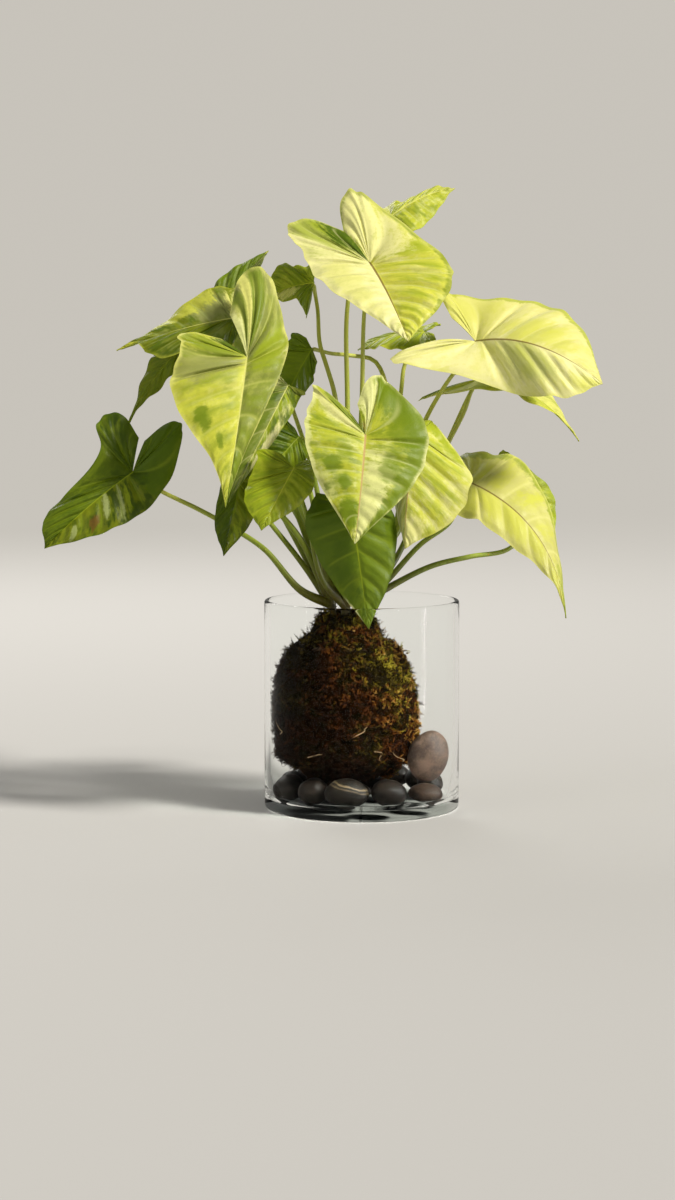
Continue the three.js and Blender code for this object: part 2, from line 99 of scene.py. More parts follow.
def spline(points, shares):
    """A smooth curve through the points, at shares from 0 to 1. Each span is a cubic. Its
    slope at either end is that of the parabola through three neighbours, with the square
    root of the distance between points as the time from one to the next."""
    points = np.asarray(points, float)
    points = np.vstack([2 * points[0] - points[1], points, 2 * points[-1] - points[-2]])
    place = np.clip(np.asarray(shares) * (len(points) - 3), 0, len(points) - 3 - 1e-9)
    span = place.astype(int)
    t = (place - span)[:, None]
    a, b, c, d = (points[span + k] for k in range(4))
    before, here, after = (
        np.sqrt(np.linalg.norm(q - p, axis=1))[:, None] for p, q in ((a, b), (b, c), (c, d))
    )
    leaving = ((b - a) / before - (c - a) / (before + here) + (c - b) / here) * here
    arriving = ((c - b) / here - (d - b) / (here + after) + (d - c) / after) * here
    square = -3 * b + 3 * c - 2 * leaving - arriving
    cube = 2 * b - 2 * c + leaving + arriving
    return b + t * leaving + t**2 * square + t**3 * cube


def loft(start, rings, end):
    """Triangles over a stack of rings of points, each counterclockwise seen from the end,
    closed by a fan round one point at the start and one at the end."""
    count, sides = rings.shape[:2]
    points = np.vstack([[start], rings.reshape(-1, 3), [end]])
    i = np.arange(sides)
    beside = (i + 1) % sides
    first = 1 + np.arange(count - 1)[:, None] * sides
    a, b = first + i, first + beside
    walls = np.stack([a, b, b + sides, a, b + sides, a + sides], axis=-1).reshape(-1, 3)
    last = len(points) - 1
    foot = np.stack([0 * i, 1 + beside, 1 + i], axis=-1)
    head = np.stack([0 * i + last, last - sides + i, last - sides + beside], axis=-1)
    return points, np.vstack([foot, walls, head])


def weld(points, triangles):
    """The points with doubles made one and the triangles that still have an area, and then
    which of the points and which of the triangles those are."""
    cells = np.round(points / WELD).astype(np.int64)
    _, kept, found = np.unique(cells, axis=0, return_index=True, return_inverse=True)
    joined = found.ravel()[triangles]
    sound = (joined != np.roll(joined, 1, axis=1)).all(axis=1)
    return points[kept], joined[sound], kept, sound


def normals_of(points, triangles):
    """The direction each point faces: the sum of its triangles' normals, big ones counting
    for more."""
    a, b, c = (points[triangles[:, k]] for k in range(3))
    across = np.cross(b - a, c - a)
    total = np.zeros_like(points)
    for k in range(3):
        np.add.at(total, triangles[:, k], across)
    return unit(total)


def merged(shells):
    """Several closed shells as one list of points and one of triangles."""
    offsets = np.cumsum([0] + [len(points) for points, _ in shells[:-1]])
    points = np.vstack([points for points, _ in shells])
    triangles = np.vstack([part + offset for (_, part), offset in zip(shells, offsets)])
    return points, triangles


def ripples(points, wavelength, seed, count=40):
    """Soft lumps, about -1 to 1: the mean of many plane waves in random directions, with
    wavelengths near the one given."""
    rng = np.random.default_rng(seed)
    ways = unit(rng.normal(size=(count, 3)))
    waves = ways * 2 * np.pi / (wavelength * rng.uniform(0.75, 1.3, (count, 1)))
    phases = rng.uniform(0, 2 * np.pi, count)
    return np.sin(points @ waves.T + phases).sum(axis=-1) / math.sqrt(count)


def make_piece(name, shell, material, slot, stands_for=(), corner_uv=None, marks=None, crease=60):
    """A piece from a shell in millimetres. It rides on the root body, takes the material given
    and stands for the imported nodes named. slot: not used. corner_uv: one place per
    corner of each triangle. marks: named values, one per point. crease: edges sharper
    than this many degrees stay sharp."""
    points, triangles = shell
    mesh = bpy.data.meshes.new(name)
    mesh.from_pydata((points * METRES).tolist(), [], triangles.tolist())
    if corner_uv is not None:
        layer = mesh.uv_layers.new(name="veins")
        layer.data.foreach_set("uv", corner_uv.astype(np.float32).ravel())
    for mark, values in (marks or {}).items():
        layer = mesh.attributes.new(mark, "FLOAT", "POINT")
        layer.data.foreach_set("value", np.asarray(values, np.float32))
    mesh.materials.append(material)
    mesh.shade_smooth()
    mesh.set_sharp_from_angle(angle=math.radians(crease))
    piece = bpy.data.objects.new(name, mesh)
    bpy.context.collection.objects.link(piece)
    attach(piece, "root")
    if stands_for:
        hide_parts(*stands_for)
    print(f"{name}: {len(triangles)} triangles")


# %% [markdown]
# ## Helpers for finishes
# A material is a tree of nodes. Written by hand, a formula such as "the noise plus the
# mask, times a half" takes several lines of linking. The small class below wraps a socket,
# so the same formula is one line of Python and the nodes are added behind it.

# %% Shader helpers


class Wire:
    """A socket of a material, or the empty start of one. Sums on it add Math nodes."""

    def __init__(self, tree, socket=None):
        self.tree = tree
        self.socket = socket

    def node(self, kind, settings=None, inputs=None, output=0):
        """Adds a node: first its settings, a ramp's stops among them, then a value or a
        link for each socket. Returns the output of that number or name."""
        made = self.tree.nodes.new("ShaderNode" + kind)
        for name, value in (settings or {}).items():
            if name == "stops":
                ramp = made.color_ramp.elements
                while len(ramp) < len(value):
                    ramp.new(0.5)
                for element, (place, color) in zip(ramp, value):
                    element.position, element.color = place, color
            else:
                setattr(made, name, value)
        for name, value in (inputs or {}).items():
            if isinstance(value, Wire):
                self.tree.links.new(value.socket, made.inputs[name])
            else:
                made.inputs[name].default_value = value
        return Wire(self.tree, made.outputs[output])

    def math(self, operation, *others):
        """One Math node on this socket, with the others after it."""
        return self.node("Math", {"operation": operation}, dict(enumerate((self, *others))))

    def __add__(self, other):
        return self.math("ADD", other)

    def __sub__(self, other):
        return self.math("SUBTRACT", other)

    def __mul__(self, other):
        return self.math("MULTIPLY", other)

    def step(self, low, high):
        """0 below low, 1 above high, and a smooth rise between. low may be the higher."""
        return self.node(
            "MapRange",
            {"interpolation_type": "SMOOTHSTEP"},
            {"Value": self, "From Min": low, "From Max": high},
        )

    def blend(self, low, high):
        """The colour low where this is 0 and high where it is 1."""
        return self.node("Mix", {"data_type": "RGBA"}, {0: self, 6: low, 7: high}, output=2)

    def noise(self, scale, detail, roughness):
        """Noise of 0 to 1 over this socket's coordinates."""
        inputs = {"Vector": self, "Scale": scale, "Detail": detail, "Roughness": roughness}
        return self.node("TexNoise", {}, inputs)

    def ramp(self, *stops):
        """A ramp of colours: each stop is a place from 0 to 1 and a colour code."""
        stops = [(place, paint(code)) for place, code in stops]
        return self.node("ValToRGB", {"stops": stops}, {"Fac": self})

    def vector(self, x, y, z):
        """Three numbers as one vector."""
        return self.node("CombineXYZ", {}, {0: x, 1: y, 2: z})

    def place(self):
        """The object's own coordinates."""
        return self.node("TexCoord", output="Object")

    def mark(self, name):
        """The value that the mesh's attribute of this name has here."""
        return self.node("Attribute", {"attribute_name": name}, output="Fac")

    def axes(self):
        """This vector's three numbers."""
        made = self.node("SeparateXYZ", {}, {0: self}).socket.node
        return [Wire(self.tree, output) for output in made.outputs]


def paint(code):
    """A colour code such as "8fb040" as the linear colour that shaders take."""
    channels = [int(code[i : i + 2], 16) / 255 for i in (0, 2, 4)]
    linear = [c / 12.92 if c <= 0.04045 else ((c + 0.055) / 1.055) ** 2.4 for c in channels]
    return (*linear, 1.0)


def new_finish(name, **constants):
    """A material with one Principled shader, whose even values are set here. Returns it
    with a Wire to draw on and the shader's own sockets."""
    material = bpy.data.materials.new(name)
    material.use_nodes = True
    tree = material.node_tree
    shader = tree.nodes["Principled BSDF"]
    for socket, value in constants.items():
        shader.inputs[socket.replace("_", " ")].default_value = value
    return material, Wire(tree), shader.inputs


def connect(wire, socket):
    """Links a Wire to a socket."""
    wire.tree.links.new(wire.socket, socket)


def connect_bump(height, strength, distance, sockets):
    """Gives the shader a Bump node that reads height."""
    bump = height.node("Bump", {}, {"Strength": strength, "Distance": distance, "Height": height})
    connect(bump, sockets["Normal"])


def mix_shader(wire, factor, kind, color):
    """Mixes a plain shader of this kind and colour into the surface, by the factor."""
    nodes = wire.tree.nodes
    main = Wire(wire.tree, nodes["Principled BSDF"].outputs[0])
    plain = wire.node(kind, {}, {"Color": color})
    mixed = wire.node("MixShader", {}, {0: factor, 1: main, 2: plain})
    connect(mixed, nodes["Material Output"].inputs["Surface"])


# %% [markdown]
# ## Leaves: the guide points
# An arrowhead vine's leaf is a heart or an arrow. Each one is set by six points read off
# the plant: where the stalk joins, the tip, the widest point of either half and the end of
# either back lobe. The rest of the outline follows from them. Here are the same points
# that the solids were made from, so each fine blade lies where its solid lies. Only the
# hidden back_right stalk stands 3.5 mm further right, straight behind another. lean is -1
# for a full outline and 1 for one that narrows early, droop is how far the midrib arches,
# waist pinches the margin before either lobe, lobe makes either lobe narrower or fuller,
# quilt is how far the blade swells between its veins and wave how far its margin rises and
# falls, both in millimetres. Where a row leaves them out, the usual value holds.

# %% Leaf table


def vine_leaf(stem, join, tip, left, right, left_lobe, right_lobe, stalk, **shape):
    """One leaf: the stem it springs from, its six guide points, the points that its stalk
    passes, and what sets its shape apart."""
    return dict(
        stem=stem, join=join, tip=tip, left=left, right=right, left_lobe=left_lobe,
        right_lobe=right_lobe, stalk=stalk, **shape,
    )


LEAVES = {
    "top": vine_leaf("back", (6, 0, 419), (34, -70, 361), (-40, -15, 417), (66, -20, 418),
        (-56, 20, 449), (-9, 45, 475),
        [(-5, 5, 207), (0, 6, 315), (2, 6, 384)], lean=-0.5, droop=0.06, waist=(0.06, -0.03),
        lobe=(1.1, 0.9), quilt=2.8),
    "top_back": vine_leaf("back", (21, 50, 454), (74, 95, 478), (39, 35, 441), (38, 76, 471),
        (13, 42, 439), (10, 72, 459),
        [(-9, 16, 207), (-11, 26, 314), (-11, 38, 385), (-3, 52, 423)]),
    "right_high": vine_leaf("right", (86, -20, 360), (179, -60, 329), (115, -55, 322),
        (132, 8, 388), (21, -45, 346), (62, 5, 400),
        [(20, 8, 192), (33, 8, 253), (47, -8, 297), (58, -19, 319), (70, -24, 337)], lean=-1,
        droop=0.17, waist=(0.1, 0.02), lobe=(0.55, 0.9)),
    "right_under": vine_leaf("right", (89, 15, 330), (167, 10, 283), (109, -20, 323),
        (125, 50, 330), (44, -10, 316), (61, 50, 338),
        [(26, 18, 191), (53, 26, 252), (68, 26, 283), (79, 22, 305)], lean=0.6, droop=0.12,
        lobe=(0.6, 0.6)),
    "front": vine_leaf("front", (2, -85, 292), (-6, -118, 214), (-43, -92, 298), (48, -88, 281),
        (-37, -60, 328), (13, -62, 336),
        [(-9, -12, 193), (-6, -32, 244), (-1, -58, 269)], lean=-0.4, waist=(0, -0.2),
        lobe=(0.6, 1.1)),
    "right_mid": vine_leaf("right", (43, -50, 293), (32, -62, 206), (29, -15, 268),
        (83, -45, 257), (32, -30, 307), (53, -30, 300),
        [(16, 2, 192), (39, 8, 238), (49, -12, 268)], lean=-0.7, waist=(0, -0.15)),
    "right_low": vine_leaf("right", (80, -25, 254), (154, -45, 152), (90, -55, 224),
        (120, 5, 272), (64, -30, 226), (77, 15, 272),
        [(18, 2, 175), (45, 4, 204), (68, 0, 222)], lean=0.7, droop=0.2),
    "right_rear": vine_leaf("right", (115, 28, 244), (146, 20, 189), (102, 22, 222),
        (147, 32, 244), (84, 25, 252), (110, 38, 275),
        [(18, 8, 169), (53, 16, 186), (84, 24, 193), (114, 34, 198), (128, 44, 214)]),
    "left_broad": vine_leaf("left", (-86, -60, 349), (-101, -105, 240), (-142, -80, 329),
        (-56, -55, 354), (-138, -50, 365), (-80, -15, 416),
        [(-47, 2, 208), (-77, 12, 245), (-100, 8, 292), (-98, -20, 320)], lean=0.9, droop=0.06,
        quilt=3.4),
    "left_high": vine_leaf("left", (-94, -10, 378), (-187, -5, 353), (-118, 10, 397),
        (-150, -22, 350), (-98, 22, 400), (-104, -20, 355),
        [(-48, 28, 221), (-77, 34, 298), (-86, 15, 351)], lean=1.1, droop=0.04, wave=3.5),
    "left_upright": vine_leaf("far", (-115, 30, 374), (-72, 45, 429), (-88, 28, 393),
        (-110, 38, 406), (-95, 25, 367), (-126, 35, 386),
        [(-48, 45, 220), (-95, 65, 297), (-114, 60, 344)], lean=0.4),
    "left_low": vine_leaf("left", (-173, -40, 262), (-238, -60, 206), (-225, -50, 244),
        (-166, -58, 232), (-193, -30, 306), (-137, -35, 299),
        [(-47, -8, 170), (-74, 0, 200), (-97, 8, 215), (-124, -2, 231), (-150, -18, 245)],
        lean=-0.3, waist=(0.38, -0.12), lobe=(1.5, 1)),
    "left_hanging": vine_leaf("left", (-136, 12, 357), (-182, 25, 290), (-160, 22, 346),
        (-147, 8, 333), (-151, 15, 364), (-129, 8, 338),
        [(-55, 22, 214), (-98, 38, 290), (-121, 32, 329)], lean=0.9),
    "centre_left": vine_leaf("front", (-51, -70, 267), (-75, -92, 222), (-86, -80, 254),
        (-37, -76, 251), (-79, -62, 279), (-36, -58, 271),
        [(-30, -20, 179), (-41, -38, 226)], lean=-0.2),
    "low_left": vine_leaf("left", (-93, -20, 254), (-105, -30, 198), (-111, -25, 233),
        (-80, -22, 234), (-104, -10, 264), (-76, -10, 264),
        [(-48, 8, 192), (-77, 4, 229)], lean=-0.1),
    "centre_dark": vine_leaf("far", (-38, 5, 354), (-64, 8, 304), (-69, 14, 352), (-37, 4, 330),
        (-54, 15, 365), (-35, -2, 344),
        [(-3, 32, 221), (21, 52, 305), (11, 54, 343), (-9, 48, 348), (-24, 28, 350)]),
    "centre_striped": vine_leaf("front", (-56, -25, 327), (-100, -60, 241), (-86, -33, 316),
        (-53, -30, 306), (-71, -20, 334), (-43, -20, 320),
        [(-24, 0, 192), (-38, 0, 262)], lean=0.6),
    "low_front": vine_leaf("front", (-9, -65, 244), (5, -45, 144), (-43, -60, 228),
        (25, -58, 224), (-35, -50, 245), (18, -50, 248),
        [(-8, -22, 187), (-9, -38, 218)], lean=-0.3),
    "top_left": vine_leaf("back", (-37, 25, 404), (-75, 20, 393), (-59, 35, 419), (-50, 15, 391),
        (-39, 35, 419), (-43, 20, 377),
        [(-13, 4, 207), (-20, 2, 315), (-27, 3, 341), (-32, 8, 357), (-34, 30, 384)],
        lobe=(0.6, 1)),
    "centre_back": vine_leaf("back", (49, 35, 366), (-3, 50, 352), (24, 62, 364), (26, 20, 353),
        (61, 38, 373), (54, 12, 358),
        [(10, 22, 206), (28, 32, 291), (31, 40, 323), (35, 46, 344)], lean=0.2),
    "centre_small": vine_leaf("front", (-48, -22, 288), (-77, -38, 256), (-71, -28, 294),
        (-45, -32, 264), (-59, -18, 300), (-39, -18, 278),
        [(-27, -6, 182), (-38, -6, 239)], lean=0.2),
    "back_left": vine_leaf("far", (-102, 95, 367), (-112, 150, 284), (-66, 105, 334),
        (-141, 115, 333), (-78, 75, 389), (-121, 85, 383),
        [(-44, 62, 219), (-78, 90, 288), (-98, 104, 339)]),
    "back_low": vine_leaf("far", (19, 90, 278), (20, 140, 223), (54, 105, 259), (-15, 105, 260),
        (35, 75, 292), (1, 80, 300),
        [(3, 40, 181), (13, 72, 234)]),
    "back_right": vine_leaf("far", (117, 70, 369), (166, 125, 336), (148, 80, 374),
        (130, 110, 332), (104, 52, 385), (92, 78, 352),
        [(14, 32, 190), (57.5, 66, 258), (92, 62, 330)]),
}

# %% [markdown]
# ## Leaves: the blade as a surface
# Each half of a blade is a grid. Its rows start on the midrib and run out to the margin,
# as the side veins do, and its columns run from the midrib to the margin. Between two side
# veins the blade swells a little, which gives the quilted look in low light. The sheet
# then gets its thickness: thin at the margin, with a rib below the midrib. A Solidify
# modifier would give one thickness everywhere, so the two faces are worked out here.

# %% Blade surface
ROWS, COLUMNS = 85, 15
ARCH, DROOP, WAVE = 0.1, 0.08, 2.0
SIDE_VEINS = 13
SLANT = 0.22  # how far towards the tip a side vein runs, as a part of the midrib
SIDE_RIB = 0.2  # millimetres that the side veins stand out below
LOBE_VEINS = 0.5  # how closely the veins of a back lobe lie, compared with the others
VEIN_SWEEP = 0.05  # how far the side veins turn towards the tip before the margin
QUILT = 2.0  # millimetres between the crest of a swelling and a vein
RUFFLE = 0.8  # millimetres that the short waves of the margin rise
NIBBLE = 0.012  # how far the margin runs in and out, as a part of the vein's length
WAVES, RUFFLES = 2.6, 9.3  # long and short waves on the way round a half
FINE_RUFFLES, NIBBLES = 41, 67  # the finer ones, as radians on that way
BLADE_THICK, MARGIN_THICK, RIB_DEEP = 0.55, 0.22, 1.0
ALONG = (0.90, 0.72, 0.50)  # the parts of the midrib where the outline has a point
FULL, LEAN = (0.24, 0.70, 0.96), (0.07, 0.27, 0.70)  # the parts of the half's width there
LOBE_POINTS = ((0.9, 0.14), (1, 0), (0.88, -0.14), (0.45, -0.2))  # along the lobe, and across
FULLER = 0.03  # how far the usual margin swells before the lobe, as a part of its length


def blade_frame(leaf):
    """The point where the stalk joins, the way the upper face looks, and the midrib: the
    chord from the join to the tip, lifted by a parabola that is highest halfway."""
    join, tip, left, right = (np.array(leaf[k], float) for k in ("join", "tip", "left", "right"))
    chord = tip - join
    up = unit(np.cross(chord, right - left))
    rise = leaf.get("droop", DROOP) * np.linalg.norm(chord)

    def midrib(share):
        share = np.asarray(share, float)[..., None]
        return join + share * chord + 4 * share * (1 - share) * rise * up

    return join, up, midrib


def half_outline(leaf, side):
    """Points of one half's outline from the tip round the lobe to the join, each with the
    share of the midrib where its vein starts. Near the tip a point is the midrib plus a
    part of the half's width; round the lobe it is a part of the lobe plus a part across."""
    join, _, midrib = blade_frame(leaf)
    name, pick = ("left", 0) if side < 0 else ("right", 1)
    widest = np.array(leaf[name], float)
    width = widest - midrib(0.25)
    lobe = np.array(leaf[name + "_lobe"], float) - join
    length = np.linalg.norm(lobe)
    outward = unit(width - (width @ lobe) / length**2 * lobe)
    fullness = leaf.get("lobe", (1, 1))[pick] * length
    waist = (leaf.get("waist", (0, 0))[pick] - FULLER) * length
    lean = (leaf.get("lean", 0) + 1) / 2

    points, starts = [np.array(leaf["tip"], float)], [1.0]
    for along, full, thin in zip(ALONG, FULL, LEAN):
        out = full + (thin - full) * lean
        points.append(midrib(along) + out * width)
        starts.append(along - SLANT * out)
    shoulder, end, inner, neck = (
        join + share * lobe + spread * fullness * outward for share, spread in LOBE_POINTS
    )
    pinch = (widest + shoulder) / 2 - waist * outward
    points += [widest, pinch, shoulder, end, inner, neck]
    starts += [0.06, 0, 0, 0, 0, 0]
    return points, starts


def half_blade(leaf, side, phase):
    """One half as a grid: midrib start plus out times the vein to the margin, plus an arch
    2 out (1 - out), a wave that grows with out squared, short ruffles along the margin and
    the quilting between veins. The margin also runs in and out a little. Returns the
    points, the place of each in the pattern of veins and its thickness."""
    _, up, midrib = blade_frame(leaf)
    points, starts = half_outline(leaf, side)
    share = np.linspace(0, 1, ROWS)
    out = np.linspace(0, 1, COLUMNS) ** 1.2
    start = np.interp(share * (len(starts) - 1), np.arange(len(starts)), starts)
    root = midrib(start)
    fade = np.sin(np.pi * share)
    ruffle = np.sin(2 * np.pi * (RUFFLES * share + 3 * phase))
    ruffle = (ruffle + np.sin(FINE_RUFFLES * share + 9 * phase)) * fade
    nibble = 1 + NIBBLE * np.sin(NIBBLES * share + 5 * phase) * fade
    vein = (spline(points, share) - root) * nibble[:, None]
    reach = np.linalg.norm(vein, axis=1)[:, None]

    turn = 2 * np.pi * (WAVES * share + phase + 0.3 * side)
    wave = leaf.get("wave", WAVE) * np.sin(turn) * fade
    sweep = VEIN_SWEEP * np.cos(np.pi * share / 0.9)
    spread = np.where(share < 0.5, share, 0.5 + (share - 0.5) * LOBE_VEINS)
    along = spread[:, None] + sweep[:, None] * out**2
    swell = np.abs(np.sin(np.pi * SIDE_VEINS * along)) ** 0.7 - 0.4
    gentle = np.interp(share, [0, 0.15, 0.5, 0.7, 1], [0.3, 1, 1, 0.6, 0.4])[:, None]
    quilt = leaf.get("quilt", QUILT) * gentle * np.clip(reach / 45, 0.2, 1)
    quilt = quilt * swell * 4 * out * (1 - out)
    margin = wave[:, None] * out**2 + RUFFLE * ruffle[:, None] * out**4
    lift = ARCH * reach * 2 * out * (1 - out) + margin + quilt

    grid = root[:, None] + vein[:, None] * out[:, None] + lift[..., None] * up
    place = np.stack([side * along, np.broadcast_to(out, along.shape)], axis=-1)
    rib = RIB_DEEP * (1 - 0.75 * start[:, None]) * np.exp(-((out * reach / 1.1) ** 2))
    side_rib = SIDE_RIB * np.exp(-((swell + 0.4) ** 2) / 0.02) * (1 - out)
    thick = MARGIN_THICK + (BLADE_THICK - MARGIN_THICK) * (1 - out**6) + rib + side_rib
    return grid, place, thick


def blade(leaf, phase):
    """Both halves as one closed shell, with the place in the veins of every triangle's
    corners and a mark of 1 on the points of the underside."""
    grids, places, thicks, faces = [], [], [], []
    corner = (np.arange(ROWS - 1)[:, None] * COLUMNS + np.arange(COLUMNS - 1)).ravel()
    quad = np.stack([corner, corner + 1, corner + COLUMNS + 1, corner + COLUMNS], axis=1)
    for side in (-1, 1):
        grid, place, thick = half_blade(leaf, side, phase)
        upward = quad[:, ::-1] if side < 0 else quad
        faces.append(upward + len(grids) * ROWS * COLUMNS)
        grids.append(grid.reshape(-1, 3))
        places.append(place.reshape(-1, 2))
        thicks.append(thick.ravel())
    quads = np.vstack(faces)
    triangles = np.vstack([quads[:, [0, 1, 2]], quads[:, [0, 2, 3]]])
    points, sheet, kept, sound = weld(np.vstack(grids), triangles)
    place = np.vstack(places)[triangles[sound]]
    thick = np.concatenate(thicks)[kept][:, None]
    normals = normals_of(points, sheet)

    above = points + normals * BLADE_THICK / 2
    below = above - normals * thick
    count = len(points)
    heads, tails = sheet, np.roll(sheet, -1, axis=1)
    rim = ~np.isin(heads * count + tails, tails * count + heads)
    a, b = heads[rim], tails[rim]
    place_a, place_b = place[rim], np.roll(place, -1, axis=1)[rim]
    walls = np.vstack([np.stack([a, count + a, count + b], 1), np.stack([a, count + b, b], 1)])
    wall_place = np.vstack(
        [np.stack([place_a, place_a, place_b], 1), np.stack([place_a, place_b, place_b], 1)]
    )
    shell = np.vstack([above, below]), np.vstack([sheet, sheet[:, ::-1] + count, walls])
    corner_uv = np.vstack([place, place[:, ::-1], wall_place])
    under = np.repeat([0.0, 1.0], count)
    return shell, corner_uv, under


# %% [markdown]
# ## Leaves: the finish
# Every leaf of this variegated vine has its own mix of cream, lime and green, but the
# paint follows one rule: it runs along the side veins. So the pattern is drawn on a UV
# map that the blade brings with it. Its first value counts along the veins, minus on the
# left half and plus on the right, and its second runs from the midrib to the margin.
# Stripes lie between the veins, and torn blotches are noise that is stretched along them.
# Thin blades let some light through, so a second shader adds a yellow green glow.

# %% Leaf finish
UNDERSIDE, GLOW = paint("b0b450"), paint("c0dc40")
SEE_THROUGH = 0.18  # the share of the light that goes through a blade


def leaf_finish(
    name, left, right, light, deep, rib, edge, stripes=0.5, flecks=0.4, bright=0.6,
    margin=0.5, veins=0.3, folds=0.5, gloss=0.16, patches=(),
):
    """left, right: colours of the halves. light: the paler tone that marbles them. deep:
    the darker green of stripes and flecks, and of the painted shade in the furrows. rib, edge:
    colours of the midrib and the margin. stripes, flecks, bright, margin, veins: how strong
    each of those is. folds: how deep the blade is corrugated, with two folds between two side
    veins, and how dark the painted shade in their furrows is. gloss: how much it shines.
    patches: (vein place, out, half length, half width, colour, strength), each a soft spot
    torn along the veins."""
    material, wire, sockets = new_finish("leaf_" + name, Specular_IOR_Level=gloss)
    x, out, _ = wire.node("UVMap", {"uv_map": "veins"}).axes()
    on_right, along = x.math("GREATER_THAN", 0.0), x.math("ABSOLUTE")
    between = (along * SIDE_VEINS).math("PINGPONG", 0.5)
    fold = (along * (SIDE_VEINS * 2)).math("PINGPONG", 0.5)
    seed = len(name) * 1.7 + ord(name[0])
    marble = wire.vector(x * (SIDE_VEINS * 1.1), out * 2.2, seed).noise(1.0, 4.0, 0.7)
    streak = wire.vector(x * (SIDE_VEINS * 2.6), out * 1.6, seed).noise(1.0, 3.0, 0.6)
    thread = wire.vector(x * (SIDE_VEINS * 7.0), out * 3.5, seed).noise(1.0, 3.0, 0.65)
    place = wire.place()
    grain = place.noise(330.0, 3.0, 0.7)
    cloud = place.noise(30.0, 3.0, 0.6) + (streak - 0.5) * 0.5

    color = on_right.blend(left, right)
    color = ((marble + (thread - 0.5) * 0.4).step(0.44, 0.66) * bright).blend(color, light)
    thin = streak.step(0.40, 0.60) * 0.75 + thread.step(0.45, 0.7) * 0.35
    stripe = between.step(0.04, 0.36) * thin * out.step(0.0, 0.2)
    color = (stripe * (out.step(1.02, 0.8) * stripes)).blend(color, deep)
    # Painted shade: the furrows of the corrugation are darkened towards the deep green.
    furrow_shade = (fold + (thread - 0.5) * 0.3).step(0.32, 0.0) * out.step(0.0, 0.3)
    color = (furrow_shade * (out.step(1.0, 0.8) * folds * 0.5)).blend(color, deep)
    spots = (cloud + (thread - 0.5) * 0.3).step(0.53, 0.61)
    color = (spots * flecks).blend(color, deep)
    torn = (streak - 0.5) * 1.8 + (thread - 0.5) * 1.3 + (grain - 0.5) * 0.6
    for where, across, half_long, half_wide, tint, strength in patches:
        u, v = (x - where) * (1 / half_long), (out - across) * (1 / half_wide)
        distance = (u * u + v * v).math("SQRT") + torn
        color = (distance.step(1.3, 0.7) * strength).blend(color, tint)
    border = (out + (thread - 0.5) * 0.09).step(0.92, 1.0) * (marble.step(0.38, 0.58) + 0.25)
    color = (border * margin).blend(color, edge)
    line = between.step(0.08, 0.0) * out.step(1.0, 0.7) * along.step(0.05, 0.15) * veins
    color = line.blend(color, light)
    color = ((grain + (thread - 0.5) * 0.5).step(0.46, 0.68) * 0.16).blend(color, deep)
    color = (out.step(0.025, 0.010) * 0.8).blend(color, rib)
    under = wire.mark("under")
    pale = wire.node("Mix", {"data_type": "RGBA"}, {0: 0.35, 6: color, 7: UNDERSIDE}, 2)
    connect(under.blend(color, pale), sockets["Base Color"])

    connect(streak * 0.25 + (under * 0.15 + 0.30), sockets["Roughness"])
    pillow = between.step(0.0, 0.4) * out.step(0.0, 0.2) * out.step(1.0, 0.8)
    ridge = fold.step(0.0, 0.5) * out.step(0.0, 0.15) * out.step(1.0, 0.85)
    height = pillow + ridge * folds + streak * 0.5 + thread * 0.3 + grain * 0.25
    connect_bump(height, 0.6, 0.0011, sockets)
    mix_shader(wire, SEE_THROUGH, "BsdfTranslucent", GLOW)
    return material


def look(*colors, **strengths):
    """A leaf's six colours, in the order of leaf_finish, and the strengths that differ."""
    return colors, strengths


# The blades' own colours, from nearly white over lime to the darkest green.
CREAM, WHITE, BUTTER, PALE = paint("f0eaa6"), paint("e2e298"), paint("e3dc8c"), paint("dfdc7c")
SUNNY, LIME, STRAW, GRASS = paint("dcda52"), paint("cfd04a"), paint("c8c472"), paint("bcc03a")
SAGE, SPRING, GREY, OLIVE = paint("b4bd78"), paint("9aa822"), paint("909256"), paint("829220")
MOSSY, MID, SHADE, DARK = paint("788016"), paint("708418"), paint("505e0c"), paint("4c620d")
DEEP, PINK, BROWN = paint("2d4008"), paint("c9a070"), paint("6b4420")

